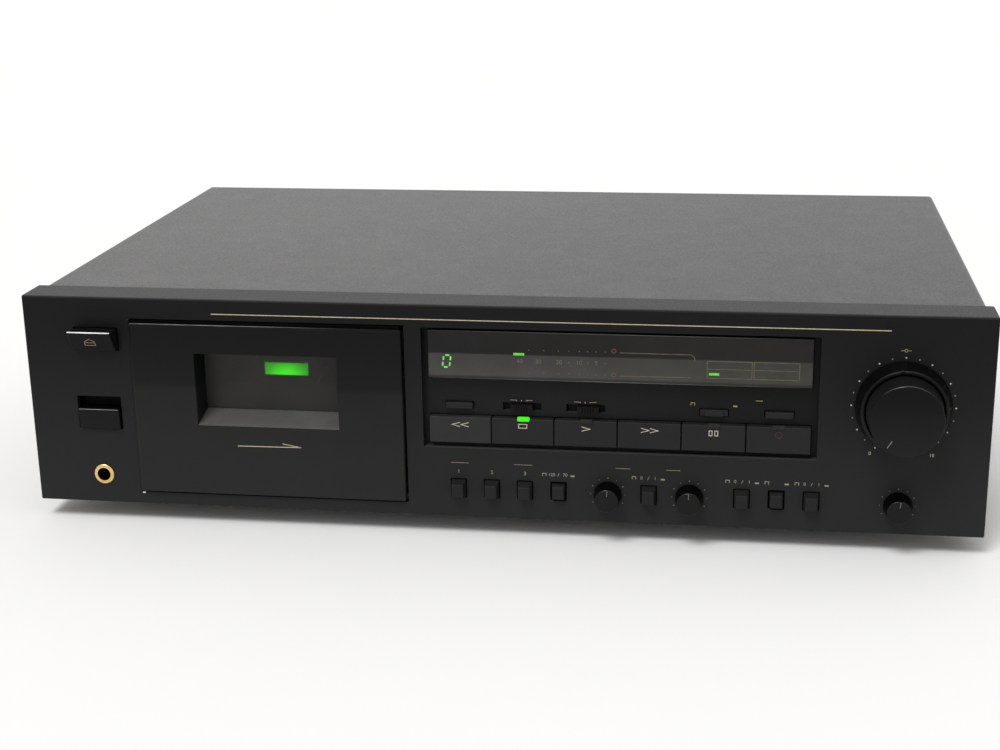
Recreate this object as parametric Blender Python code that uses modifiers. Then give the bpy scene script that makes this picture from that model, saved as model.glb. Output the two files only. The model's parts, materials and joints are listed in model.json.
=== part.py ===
"""Full-size front-loading cassette deck, built from its separate pieces.

The datum empty sits on the front face of the front panel, at its bottom edge and in the middle:
X runs to the right, Y to the rear and Z up, and every place below is measured from it, in metres.
Widths add up from left to right, and heights from the floor of the case to the top of the panel.
"""

import math

import bmesh
import bpy
from mathutils import Matrix, Vector

# Clearances
FIT = 0.0003  # between pieces that touch or slide on each other
RUN = 0.0004  # round a button in its opening
OVER = 0.0010  # overrun of a cut, and depth by which joined shapes reach into each other

# Front panel: a moulded pan, open at the rear
PANEL_WALL = 0.0028
RETURN_DEPTH = 0.0200
RETURN_WALL = 0.0022
PANEL_EDGE = 0.0008
PANEL_OVER_DOOR = 0.0098

# Widths across the panel, from left to right
LEFT_FLANK = 0.0500
DOOR_OPENING_WIDTH = 0.1284
DOOR_TO_BAY = 0.0077
BAY_WIDTH = 0.1753
RIGHT_FLANK = 0.0736

# Case of folded sheet
CASE_DEPTH = 0.2680
SHEET = 0.0012
COVER_STEP = 0.0025  # the cover's side lies this far in from the panel's
COVER_DROP = 0.0007  # and its top this far below
COVER_BEND = 0.0025
REAR_INSET = 0.0018
TRAY_WALL = 0.0300
SCREW_HEAD_RADIUS = 0.0040
SCREW_HEAD_RISE = 0.0015
SCREW_HEIGHT = 0.0140
SCREW_FRONT = 0.0600
SCREW_TO_REAR = 0.0430
VENT_COUNT = 9
VENT_PITCH = 0.0120
VENT_WIDTH = 0.0040
VENT_LENGTH = 0.0450
POST_RADIUS = 0.0030

# Feet
FOOT_CLEAR = 0.0090
FOOT_RADIUS = 0.0130
FOOT_TAPER = 0.0020
FOOT_RECESS_RADIUS = 0.0045
FOOT_RECESS_DEPTH = 0.0050
FOOT_TO_SIDE = 0.0525
FOOT_FRONT = 0.0450
FOOT_TO_REAR = 0.0330

# Cassette door
DOOR_OPENING_BOTTOM = 0.0059
DOOR_OVER_HUB = 0.0332
DOOR_GAP = 0.0010
DOOR_TOP_GAP = 0.0020
DOOR_PROUD = 0.0018
DOOR_PLATE = 0.0034
DOOR_EDGE = 0.0007
DOOR_LIP = 0.0008  # thickness left at the lower edge, which swings past the panel
DOOR_LIP_HEIGHT = 0.0018
WINDOW_WIDTH = 0.0668
WINDOW_UNDER_HUB = 0.0167
WINDOW_OVER_HUB = 0.0180
WINDOW_DRAFT = 0.0010
LEDGE_RISE = 0.0055  # the sloped ledge climbs this much towards the pane
POCKET_DEPTH = 0.0126
POCKET_WALL = 0.0016
PANE_THICKNESS = 0.0014

# Door pivot: the holder's pins turn in ears behind the panel
PIVOT_BACK = 0.0042
PIVOT_HEIGHT = 0.0082
PIN_RADIUS = 0.0012
EAR_THICKNESS = 0.0042
EAR_DEPTH = 0.0052
EAR_FOOT = 0.0040
EAR_HEAD = 0.0045
PIN_REACH = 0.0030

# Compact cassette, and the holder that takes it
CASSETTE_WIDTH = 0.1024
CASSETTE_HUB_TO_BOTTOM = 0.0343
CASSETTE_HUB_TO_TOP = 0.0270
CASSETTE_SLACK = 0.0008
HUB_SPACING = 0.0425
CAPSTAN_SPACING = 0.0660
CAPSTAN_RISE = 0.0084  # above the cassette's lower edge
HOLDER_WALL = 0.0018
HOLDER_FRONT = 0.0020
HOLDER_LIP = 0.0050
HOLDER_LIP_WALL = 0.0012
HOLDER_SHELF = 0.0015
HOLDER_SHELF_LENGTH = 0.0120
HOLDER_APRON = 0.0047  # the front plate hangs this far below the cassette
HOLDER_ARM = 0.0018
HOLDER_ARM_CLEAR = 0.0020
HOLDER_BRIDGE = 0.0037
HOLDER_WINDOW_WIDTH = 0.0800
HOLDER_WINDOW_OVER = 0.0015

# Transport
TRANSPORT_SIDE = 0.0028  # the frame reaches this far past the door opening
TRANSPORT_BACK = 0.0326
TRANSPORT_PLATE = 0.0025
TRANSPORT_OVER_DOOR = 0.0038
CAGE_BACK = 0.0540
CAGE_PLATE = 0.0020
CAGE_OVER_HUB = 0.0130
CAGE_TO_FLYWHEEL = 0.0015
CAGE_POST_RADIUS = 0.0025
CAGE_POST_INSET = 0.0040
CAGE_POST_LOW = 0.0090
SPINDLE_TIP = 0.0190
SPINDLE_RADIUS = 0.0028
SPINDLE_TIP_RADIUS = 0.0014
SPINDLE_FIN_REACH = 0.0042
SPINDLE_FIN_WIDTH = 0.0011
SPINDLE_FIN_FRONT = 0.0030
SPINDLE_FIN_LENGTH = 0.0065
SPINDLE_FINS = 3
SPINDLE_FLANGE_RADIUS = 0.0055
SPINDLE_FLANGE = 0.0016
SPINDLE_SHAFT_RADIUS = 0.0036
REEL_DISC_RADIUS = 0.0160
REEL_DISC = 0.0040
REEL_DISC_BACK = 0.0012
CAPSTAN_RADIUS = 0.00125
CAPSTAN_TIP = 0.0200
FLYWHEEL_RADIUS = 0.0255
FLYWHEEL_CLEAR = 0.0010
FLYWHEEL_FRONT = 0.0440
FLYWHEEL_RIM = 0.0070
FLYWHEEL_WEB = 0.0030
FLYWHEEL_RIM_WALL = 0.0050
FLYWHEEL_HUB = 0.0060
BELT_THICKNESS = 0.0006
BELT_WIDTH = 0.0035
CAPSTAN_MOTOR_RADIUS = 0.0170
CAPSTAN_MOTOR_LENGTH = 0.0150
REEL_MOTOR_RADIUS = 0.0140
REEL_MOTOR_LENGTH = 0.0220
MOTOR_BOSS_RADIUS = 0.0050
MOTOR_BOSS = 0.0020
MOTOR_EDGE = 0.0012
LIGHT_WIDTH = 0.0206
LIGHT_HEIGHT = 0.0069
LIGHT_RISE = 0.0019  # its middle above the hubs
LIGHT_DEPTH = 0.0038

# Head block, which lifts to the tape with its pinch rollers
HEAD_BLOCK_HALF_WIDTH = 0.0245
HEAD_BLOCK_FOOT = 0.0045
HEAD_BLOCK_HEIGHT = 0.0115
HEAD_BLOCK_PLATE = 0.0020
HEAD_SHELF_FRONT = 0.0215
HEAD_SHELF_RISE = 0.0065
HEAD_SHELF = 0.0018
HEAD_LIFT = 0.0060
HEAD_FRONT = 0.0225
HEAD_DEPTH = 0.0065
HEAD_HEIGHT = 0.0087
HEAD_FACE_RADIUS = 0.0090
ERASE_HEAD_WIDTH = 0.0070
TAPE_HEAD_WIDTH = 0.0100
HEAD_GAP = 0.0035
GUIDE_PIN_RADIUS = 0.0012
GUIDE_PIN_SIDE = 0.0200
ARM_PIVOT_SIDE = 0.0470
ARM_PIVOT_DROP = 0.0131  # below the capstans
ARM_LENGTH = 0.0154
ARM_REST_DEG = 5.6  # below level
ARM_END_RADIUS = 0.0030
ARM_THICKNESS = 0.0018
ARM_PIN_RADIUS = 0.0015
ROLLER_RADIUS = 0.0055
ROLLER_WIDTH = 0.0070
ROLLER_AXLE_RADIUS = 0.0010
ROLLER_HUB_RADIUS = 0.0028

# Control bay: its floor is the bezel, set behind the panel
BAY_DROP = 0.0007  # its top lies this far below the door opening's
BAY_DEPTH = 0.0044
BEZEL_PLATE = 0.0020
BEZEL_MARGIN = 0.0022

# Display, at the top of the bay
DISPLAY_DROP = 0.0012
DISPLAY_HEIGHT = 0.0223
DISPLAY_INSET = 0.0030
DISPLAY_FACE = 0.0009
LENS_WALL = 0.0018
LENS_EDGE = 0.0005
LENS_FLANGE = 0.0015
LENS_FLANGE_REACH = 0.0022
TUBE_DEPTH = 0.0050
TUBE_MARGIN = 0.0050
DISPLAY_BOARD = 0.0016

# Small controls between the display and the keys
ROW_DROP = 0.0116
ROW_HEIGHT = 0.0037
ROW_EDGE = 0.0003
RESET_SHARE = 0.0931  # shares of the bay's width, from its left side
MONITOR_SHARE = 0.7425
MUTE_SHARE = 0.9049
SLIDE_ONE_SHARE = 0.2550
SLIDE_TWO_SHARE = 0.4181
ROW_BUTTON_SLOT = 0.0131
ROW_BUTTON_FACE = 0.0026
ROW_BUTTON_DEPTH = 0.0060
MONITOR_NOSE = 0.0080
MONITOR_STEP = 0.0010
SLIDE_KNOB = 0.0098
SLIDE_FACE = 0.0018
SLIDE_TRAVEL = 0.0035
SLIDE_TWO_SET = 0.0012  # stands this far to the right of its middle
SLIDE_SHUTTER = 0.0010
SLIDE_SHUTTER_LAP = 0.0010
SLIDE_RIDGE = 0.0004
SLIDE_RIDGES = 5

# Transport keys, at the foot of the bay
KEY_COUNT = 6
KEY_DROP = 0.0030
KEY_HEIGHT = 0.0119
KEY_RISE = 0.0024
KEY_INSET = 0.0029
KEY_SPLIT = 0.0005
KEY_FACE = 0.0004
KEY_RAKE = 0.0008  # the face leans back this much towards its top
KEY_DEPTH = 0.0075
KEY_EDGE = 0.0003
KEY_STEM = 0.0060
KEY_STEM_END = 0.0130
KEY_TRAVEL = 0.0015

# Push buttons of the lower row, by shares of the bay's width
PUSH_HEIGHT = 0.0141
PUSH_OPENING_HEIGHT = 0.0093
PUSH_SIDE = 0.0004
PUSH_WIDTH = 0.0066
PUSH_FACE_WIDTH = 0.0053
PUSH_FACE_HEIGHT = 0.0059
PUSH_FACE_LIFT = 0.00015
PUSH_PROUD = 0.0050
PUSH_TRAVEL = 0.0030
PUSH_LATCHED = 0.0020
PUSH_EDGE = 0.0004
PUSH_FLANGE = 0.0012
PUSH_FLANGE_REACH = 0.0009
PUSH_STEM = 0.0036
PUSH_STEM_END = 0.0110
TAPE_SHARES = (0.0901, 0.1768, 0.2635)
EQUALISER_SHARE = 0.3503
CALIBRATION_SHARE = 0.5819
NOISE_SHARES = (0.8169, 0.9036, 0.9903)

# Eject and power buttons, wedge shaped: more proud at the top than at the bottom
EJECT_SHARE = 0.6890  # shares of the left flank, from the panel's end
EJECT_WIDTH = 0.0205
EJECT_HEIGHT = 0.0103
EJECT_DROP = 0.0147
EJECT_PROUD = 0.0092
EJECT_PROUD_LOW = 0.0030
EJECT_TRAVEL = 0.0045
POWER_SHARE = 0.6650
POWER_WIDTH = 0.0196
POWER_SIDE = 0.0008
POWER_BOTTOM = 0.0369
POWER_HEIGHT = 0.0100
POWER_PROUD = 0.0021
POWER_PROUD_LOW = 0.0014
POWER_STEP = 0.0056  # depth at which the finger step's back rises
POWER_STEP_HEIGHT = 0.0052
POWER_TRAVEL = 0.0045
WEDGE_EDGE = 0.0004
WEDGE_STEM = 0.0060
WEDGE_FLANGE = 0.0012
WEDGE_LIP = 0.0006
POWER_STEM_END = 0.0160
POWER_SWITCH_WIDTH = 0.0130
POWER_SWITCH_DEPTH = 0.0160

# Phones jack
PHONES_SHARE = 0.6520
PHONES_HEIGHT = 0.0141
PHONES_RING_RADIUS = 0.0048
PHONES_RING = 0.0006
PHONES_BORE_RADIUS = 0.0032
PHONES_BARREL_RADIUS = 0.0043
PHONES_BODY = 0.0130
PHONES_BODY_END = 0.0260
PHONES_BORE_END = 0.0230

# Small rotary knobs: two by shares of the bay's width, one below the recording level
BIAS_SHARE = 0.4775
LEVEL_SHARE = 0.6851
KNOB_RADIUS = 0.0064
KNOB_FACE_RADIUS = 0.0053
KNOB_PROUD = 0.0092
KNOB_HEIGHT = 0.0137
KNOB_STAND = 0.0005  # gap between the panel and a knob's skirt
KNOB_CHAMFER = 0.0006
SHAFT_RADIUS = 0.0030
SHAFT_END = 0.0110
SHAFT_CLEAR = 0.0003
SHAFT_HOLE_CLEAR = 0.0007
POINTER_LENGTH = 0.0030
POINTER_WIDTH = 0.0005
POINTER_DEPTH = 0.0003
BIAS_SET_DEG = 4.0
LEVEL_SET_DEG = 0.0
OUTPUT_SET_DEG = 6.0

# Recording level control: a ring round a large knob, on one centre
RECORD_SHARE = 0.4857  # share of the right flank, from the bay
RECORD_DROP = 0.0406
RING_WIDTH = 0.0034
RING_DRAFT = 0.0013
RING_PROUD = 0.0120
RING_WEB = 0.0022
RING_TUBE_RADIUS = 0.0050
RING_TUBE_END = 0.0120
RING_NOTCH = 0.0014
RING_SET_DEG = -6.0
MASTER_RADIUS = 0.0166
MASTER_CLEAR = 0.0006
MASTER_DRAFT = 0.0010
MASTER_PROUD = 0.0205
MASTER_CHAMFER = 0.0007
MASTER_SHAFT_END = 0.0170
MASTER_SET_DEG = -150.0
MASTER_POINTER = 0.0042
MASTER_POINTER_WIDTH = 0.0007

# Control board with its switches and potentiometers
BOARD_FRONT = 0.0240
BOARD = 0.0016
BOARD_SIDE_GAP = 0.0025
BOARD_DROP = 0.0045
POT_BUSH_RADIUS = 0.0046
POT_FRONT = 0.0120
POT_SIZE = 0.0130
DUAL_BUSH_RADIUS = 0.0080
DUAL_POT_SIZE = 0.0240
SWITCH_WIDTH = 0.0080
SWITCH_HEIGHT = 0.0090
TACT_SIZE = 0.0062

# Main board: what stands on it is placed by shares of its width and depth
BOARD_TO_SIDE = 0.0085
BOARD_TO_TRANSFORMER = 0.0020
BOARD_TO_MOTOR = 0.0147
BOARD_TO_REAR = 0.0230
MAIN_BOARD_RISE = 0.0080
POST_INSET = 0.0120
CAPACITOR_RADIUS = 0.0080
CAPACITOR_HEIGHT = 0.0300
CAPACITOR_SHARES = ((0.72, 0.83), (0.79, 0.83), (0.86, 0.83), (0.93, 0.83))
SINK_LENGTH = 0.0600
SINK_HEIGHT = 0.0350
SINK_WALL = 0.0030
SINK_FIN = 0.0080
SINK_FINS = 6
SINK_SHARES = (0.39, 0.27)
CHIP_WIDTH = 0.0140
CHIP_LENGTH = 0.0380
CHIP_HEIGHT = 0.0050
CHIP_SHARES = ((0.11, 0.53), (0.20, 0.53), (0.30, 0.53), (0.39, 0.53))

# Transformer and rear fittings
TRANSFORMER_TO_SIDE = 0.0575
TRANSFORMER_TO_REAR = 0.0530
CORE_WIDTH = 0.0660
CORE_DEPTH = 0.0340
CORE_HEIGHT = 0.0560
COIL_WIDTH = 0.0380
COIL_DEPTH = 0.0560
COIL_HEIGHT = 0.0340
COIL_EDGE = 0.0040
FLANGE_WIDTH = 0.0860
FLANGE_HEIGHT = 0.0020
JACKS_TO_SIDE = 0.0525
JACKS_HEIGHT = 0.0400
JACK_PITCH = 0.0150
JACK_RADIUS = 0.0042
JACK_BORE_RADIUS = 0.0017
JACK_BORE_DEPTH = 0.0080
JACK_PROUD = 0.0095
JACK_BLOCK_WALL = 0.0070
JACK_BLOCK_DEPTH = 0.0120
GLAND_TO_SIDE = 0.0325
GLAND_HEIGHT = 0.0220
GLAND_NECK = 0.0057
GLAND_LIP = 0.0018
GLAND_BORE = 0.0037
GLAND_PROUD = 0.0040
GLAND_TAIL = 0.0050

# Sides of round shapes
FINE = 48
ROUND = 32
WHEEL = 24
COARSE = 20
SMALL = 12

# Places worked out from the sizes above
FRONT_Y = (MASTER_PROUD - CASE_DEPTH - JACK_PROUD) / 2
HALF_WIDTH = (LEFT_FLANK + DOOR_OPENING_WIDTH + DOOR_TO_BAY + BAY_WIDTH + RIGHT_FLANK) / 2
WELL_X = LEFT_FLANK + DOOR_OPENING_WIDTH / 2 - HALF_WIDTH
BAY_LEFT = LEFT_FLANK + DOOR_OPENING_WIDTH + DOOR_TO_BAY - HALF_WIDTH
BAY_RIGHT = BAY_LEFT + BAY_WIDTH
EJECT_X = LEFT_FLANK * EJECT_SHARE - HALF_WIDTH
POWER_X = LEFT_FLANK * POWER_SHARE - HALF_WIDTH
PHONES_X = LEFT_FLANK * PHONES_SHARE - HALF_WIDTH
RECORD_X = BAY_RIGHT + RIGHT_FLANK * RECORD_SHARE

FLOOR_BOTTOM = RETURN_WALL + FIT
FLOOR_TOP = FLOOR_BOTTOM + SHEET
CAPSTAN_HEIGHT = FLOOR_TOP + FLYWHEEL_CLEAR + BELT_THICKNESS + FIT + FLYWHEEL_RADIUS
CASSETTE_FOOT = CAPSTAN_HEIGHT - CAPSTAN_RISE
HUB_HEIGHT = CASSETTE_FOOT + CASSETTE_HUB_TO_BOTTOM
WINDOW_BOTTOM = HUB_HEIGHT - WINDOW_UNDER_HUB
WINDOW_TOP = HUB_HEIGHT + WINDOW_OVER_HUB
HOLDER_TOP = HUB_HEIGHT + CASSETTE_HUB_TO_TOP
HOLDER_FRONT_FOOT = CASSETTE_FOOT - HOLDER_APRON
DOOR_OPENING_TOP = HUB_HEIGHT + DOOR_OVER_HUB
PANEL_HEIGHT = DOOR_OPENING_TOP + PANEL_OVER_DOOR
BAY_TOP = DOOR_OPENING_TOP - BAY_DROP
DISPLAY_TOP = BAY_TOP - DISPLAY_DROP
DISPLAY_BOTTOM = DISPLAY_TOP - DISPLAY_HEIGHT
DISPLAY_LEFT = BAY_LEFT + DISPLAY_INSET
DISPLAY_RIGHT = BAY_RIGHT - DISPLAY_INSET
ROW_TOP = DISPLAY_BOTTOM - ROW_DROP
ROW_BOTTOM = ROW_TOP - ROW_HEIGHT
KEY_TOP = ROW_BOTTOM - KEY_DROP
KEY_BOTTOM = KEY_TOP - KEY_HEIGHT
BAY_BOTTOM = KEY_BOTTOM - KEY_RISE
KEYS_LEFT = BAY_LEFT + KEY_INSET
KEYS_RIGHT = BAY_RIGHT - KEY_INSET
KEY_PITCH = (KEYS_RIGHT - KEYS_LEFT + KEY_SPLIT) / KEY_COUNT
EJECT_TOP = PANEL_HEIGHT - EJECT_DROP
EJECT_BOTTOM = EJECT_TOP - EJECT_HEIGHT
POWER_TOP = POWER_BOTTOM + POWER_HEIGHT
POWER_STEP_TOP = POWER_TOP + POWER_STEP_HEIGHT
RECORD_HEIGHT = PANEL_HEIGHT - RECORD_DROP
ARM_PIVOT_HEIGHT = CAPSTAN_HEIGHT - ARM_PIVOT_DROP

COVER_HALF = HALF_WIDTH - COVER_STEP
COVER_TOP = PANEL_HEIGHT - COVER_DROP
COVER_FRONT = RETURN_DEPTH + FIT
TRAY_HALF = COVER_HALF - SHEET - FIT
REAR_PLATE_BACK = CASE_DEPTH - REAR_INSET
REAR_PLATE_FRONT = REAR_PLATE_BACK - SHEET
BEHIND_WALL = PANEL_WALL + FIT
DOOR_HALF = DOOR_OPENING_WIDTH / 2 - DOOR_GAP
DOOR_BACK = DOOR_PLATE - DOOR_PROUD
HOLDER_FACE = POCKET_DEPTH + FIT
HOLDER_BACK = HOLDER_FACE + HOLDER_FRONT
HOLDER_HALF = CASSETTE_WIDTH / 2 + CASSETTE_SLACK
HOLDER_LIP_FRONT = TRANSPORT_BACK - HOLDER_LIP_WALL - 4 * FIT
BEZEL_BACK = BAY_DEPTH + BEZEL_PLATE
LENS_FLANGE_FRONT = BEZEL_BACK + FIT
LENS_BACK = LENS_FLANGE_FRONT + LENS_FLANGE
SLIDE_SLOT = SLIDE_KNOB + 2 * (SLIDE_TRAVEL + FIT)
PUSH_OPENING_WIDTH = PUSH_WIDTH + 2 * PUSH_SIDE
PUSH_BASE_HEIGHT = PUSH_OPENING_HEIGHT - 2 * PUSH_SIDE
RING_BORE_RADIUS = MASTER_RADIUS + MASTER_CLEAR
RING_RADIUS = RING_BORE_RADIUS + RING_WIDTH
RING_FACE_RADIUS = RING_RADIUS - RING_DRAFT
RING_TUBE_BORE = SHAFT_RADIUS + RUN
MASTER_FACE_RADIUS = MASTER_RADIUS - MASTER_DRAFT
TRANSPORT_PLATE_BACK = TRANSPORT_BACK + TRANSPORT_PLATE
TRANSPORT_TOP = DOOR_OPENING_TOP + TRANSPORT_OVER_DOOR
CAGE_PLATE_BACK = CAGE_BACK + CAGE_PLATE
CAGE_TOP = HUB_HEIGHT + CAGE_OVER_HUB
CAGE_HALF_WIDTH = CAPSTAN_SPACING / 2 + FLYWHEEL_RADIUS + CAGE_TO_FLYWHEEL
TRANSFORMER_X = HALF_WIDTH - TRANSFORMER_TO_SIDE
TRANSFORMER_Y = CASE_DEPTH - TRANSFORMER_TO_REAR
MAIN_BOARD_BOTTOM = FLOOR_TOP + MAIN_BOARD_RISE + FIT
MAIN_BOARD_LEFT = BOARD_TO_SIDE - TRAY_HALF
MAIN_BOARD_RIGHT = TRANSFORMER_X - FLANGE_WIDTH / 2 - BOARD_TO_TRANSFORMER
MAIN_BOARD_FRONT = CAGE_PLATE_BACK + REEL_MOTOR_LENGTH + MOTOR_BOSS + BOARD_TO_MOTOR
MAIN_BOARD_REAR = CASE_DEPTH - BOARD_TO_REAR
JACKS_X = JACKS_TO_SIDE - HALF_WIDTH
GLAND_X = HALF_WIDTH - GLAND_TO_SIDE


def bay_place(share):
    """A place across the control bay, by its share of the bay's width."""
    return BAY_LEFT + BAY_WIDTH * share


def board_place(shares):
    """A place on the main board, by shares of its width and depth."""
    across, back = shares
    x = MAIN_BOARD_LEFT + (MAIN_BOARD_RIGHT - MAIN_BOARD_LEFT) * across
    y = MAIN_BOARD_FRONT + (MAIN_BOARD_REAR - MAIN_BOARD_FRONT) * back
    return x, y


def clear_scene():
    for obj in list(bpy.data.objects):
        bpy.data.objects.remove(obj, do_unlink=True)


def new_collection(name):
    made = bpy.data.collections.new(name)
    bpy.context.scene.collection.children.link(made)
    return made


clear_scene()
DECK = new_collection("cassette_deck")
CUTTERS = new_collection("cutters")
DATUM = bpy.data.objects.new("panel_datum", None)
DATUM.location = (0, FRONT_Y, FOOT_CLEAR)
DECK.objects.link(DATUM)


def material(name, colour, roughness, metallic=0.0, alpha=1.0):
    made = bpy.data.materials.new(name)
    made.use_nodes = True
    made.diffuse_color = (*colour, alpha)
    shader = made.node_tree.nodes["Principled BSDF"]
    shader.inputs["Base Color"].default_value = (*colour, 1)
    shader.inputs["Roughness"].default_value = roughness
    shader.inputs["Metallic"].default_value = metallic
    shader.inputs["Alpha"].default_value = alpha
    return made


PANEL_BLACK = material("panel_black", (0.022, 0.023, 0.026), 0.55)
DOOR_BLACK = material("door_black", (0.022, 0.024, 0.026), 0.50)
KEY_BLACK = material("key_black", (0.045, 0.045, 0.052), 0.40)
KNOB_BLACK = material("knob_black", (0.020, 0.020, 0.022), 0.45)
CASE_PAINT = material("case_paint", (0.070, 0.070, 0.072), 0.50, 0.2)
SMOKED = material("smoked_plastic", (0.10, 0.09, 0.08), 0.10, 0.0, 0.5)
STEEL = material("plated_steel", (0.60, 0.60, 0.58), 0.35, 1.0)
BRIGHT_STEEL = material("bright_steel", (0.75, 0.75, 0.75), 0.15, 1.0)
GOLD = material("gold_plate", (0.80, 0.55, 0.22), 0.25, 1.0)
HOLDER_GREY = material("holder_grey", (0.06, 0.06, 0.06), 0.50)
RUBBER = material("rubber", (0.02, 0.02, 0.02), 0.80)
BOARD_GREEN = material("board_green", (0.05, 0.12, 0.06), 0.55)
GLASS_DARK = material("display_glass", (0.02, 0.05, 0.04), 0.10)
LAMP_GREEN = material("lamp_green", (0.15, 0.90, 0.20), 0.40)
CORE_STEEL = material("core_steel", (0.25, 0.24, 0.23), 0.45, 0.8)
MOTOR_STEEL = material("motor_steel", (0.50, 0.50, 0.50), 0.30, 1.0)


def place(name, mesh, finish, at=(0, 0, 0), turn=(0, 0, 0), helper=False):
    """An object for a mesh, at a place measured from the datum."""
    made = bpy.data.objects.new(name, mesh)
    made.parent = DATUM
    made.location = at
    made.rotation_euler = turn
    if helper:
        CUTTERS.objects.link(made)
        made.hide_render = True
        made.display_type = "WIRE"
    else:
        DECK.objects.link(made)
        made.data.materials.append(finish)
    return made


def mesh_of(bm, name):
    made = bpy.data.meshes.new(name)
    bm.normal_update()
    bm.to_mesh(made)
    bm.free()
    return made


def put_box(bm, low, high):
    """A box between two corners."""
    low, high = Vector(low), Vector(high)
    size = high - low
    placed = Matrix.Translation((low + high) / 2) @ Matrix.Diagonal((*size, 1))
    return bmesh.ops.create_cube(bm, size=1, matrix=placed)["verts"]


AXIS_TURN = {
    "X": Matrix.Rotation(math.pi / 2, 4, "Y"),
    "Y": Matrix.Rotation(-math.pi / 2, 4, "X"),
    "Z": Matrix.Identity(4),
}


def put_rod(bm, start, length, radius, axis="Y", sides=ROUND, end_radius=None):
    """A cylinder or cone from the point start, along one axis."""
    middle = Matrix.Translation((0, 0, length / 2))
    bmesh.ops.create_cone(
        bm,
        cap_ends=True,
        segments=sides,
        radius1=radius,
        radius2=radius if end_radius is None else end_radius,
        depth=length,
        matrix=Matrix.Translation(start) @ AXIS_TURN[axis] @ middle,
    )


def shape(name, boxes=(), rods=(), helper=True, finish=None, at=(0, 0, 0)):
    """One object made of boxes (low, high) and rods (start, length, radius, axis, sides)."""
    bm = bmesh.new()
    for low, high in boxes:
        put_box(bm, low, high)
    for rod in rods:
        put_rod(bm, *rod)
    return place(name, mesh_of(bm, name), finish, at, helper=helper)


def box_piece(name, low, high, finish, at=(0, 0, 0)):
    return shape(name, boxes=[(low, high)], helper=False, finish=finish, at=at)


def boolean(obj, other, operation):
    step = obj.modifiers.new(other.name, "BOOLEAN")
    step.operation = operation
    step.object = other


def cut(obj, name, boxes=(), rods=(), at=(0, 0, 0)):
    boolean(obj, shape(f"{name}_cut", boxes, rods, at=at), "DIFFERENCE")


def fuse(obj, name, boxes=(), rods=(), at=(0, 0, 0)):
    boolean(obj, shape(f"{name}_add", boxes, rods, at=at), "UNION")


def round_edges(obj, width, segments=2):
    step = obj.modifiers.new("rounded", "BEVEL")
    step.width = width
    step.segments = segments
    step.limit_method = "ANGLE"
    step.harden_normals = False


def smooth(obj, degrees=35.0):
    obj.data.shade_smooth()
    obj.data.set_sharp_from_angle(angle=math.radians(degrees))


def turned(name, profile, finish, at, sides=ROUND, turn=(-math.pi / 2, 0, 0), helper=False):
    """A profile of (radius, distance) turned about its axis; it runs down the outer side.

    With the usual turn, distance is measured to the rear of the datum's front face.
    """
    mesh = bpy.data.meshes.new(name)
    points = [(radius, 0, along) for radius, along in profile]
    mesh.from_pydata(points, [(i, i + 1) for i in range(len(points) - 1)], [])
    made = place(name, mesh, finish, at, turn, helper)
    spin = made.modifiers.new("turned", "SCREW")
    spin.steps = sides
    spin.render_steps = sides
    spin.axis = "Z"
    spin.use_merge_vertices = True
    spin.merge_threshold = 0.00001
    spin.use_smooth_shade = True
    return made


def outline(name, points, thickness, plane, finish, at=(0, 0, 0), helper=False, hole=None):
    """A flat outline given thickness. Plane XZ takes (x, z) points and YZ takes (y, z)."""
    curve = bpy.data.curves.new(f"{name}_outline", "CURVE")
    curve.dimensions = "2D"
    curve.fill_mode = "BOTH"
    curve.extrude = thickness / 2
    for ring in [points] + ([hole] if hole else []):
        spline = curve.splines.new("POLY")
        spline.points.add(len(ring) - 1)
        for point, (first, second) in zip(spline.points, ring):
            point.co = (first, second, 0, 1)
        spline.use_cyclic_u = True
    drawn = bpy.data.objects.new(f"{name}_drawn", curve)
    CUTTERS.objects.link(drawn)
    graph = bpy.context.evaluated_depsgraph_get()
    mesh = bpy.data.meshes.new_from_object(drawn.evaluated_get(graph))
    bpy.data.objects.remove(drawn)
    bm = bmesh.new()
    bm.from_mesh(mesh)
    bmesh.ops.remove_doubles(bm, verts=bm.verts, dist=0.000001)
    stand = Matrix.Rotation(math.pi / 2, 4, "X")
    if plane == "YZ":
        stand = Matrix.Rotation(math.pi / 2, 4, "Z") @ stand
    bmesh.ops.transform(bm, matrix=stand, verts=bm.verts)
    bmesh.ops.recalc_face_normals(bm, faces=bm.faces)
    bm.to_mesh(mesh)
    bm.free()
    return place(name, mesh, finish, at, helper=helper)


def arc(centre, radius, start_deg, end_deg, steps):
    """Points on an arc, both ends included."""
    points = []
    for i in range(steps + 1):
        angle = math.radians(start_deg + (end_deg - start_deg) * i / steps)
        points.append((centre[0] + radius * math.cos(angle), centre[1] + radius * math.sin(angle)))
    return points


def stadium(first, second, radius, steps=SMALL):
    """The outline of a bar with round ends about two points on one level."""
    return arc(second, radius, -90, 90, steps) + arc(first, radius, 90, 270, steps)


def around(x, z, width, height, front, back):
    """Corners of a box with its middle at x and z."""
    return (
        (x - width / 2, front, z - height / 2),
        (x + width / 2, back, z + height / 2),
    )


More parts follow.
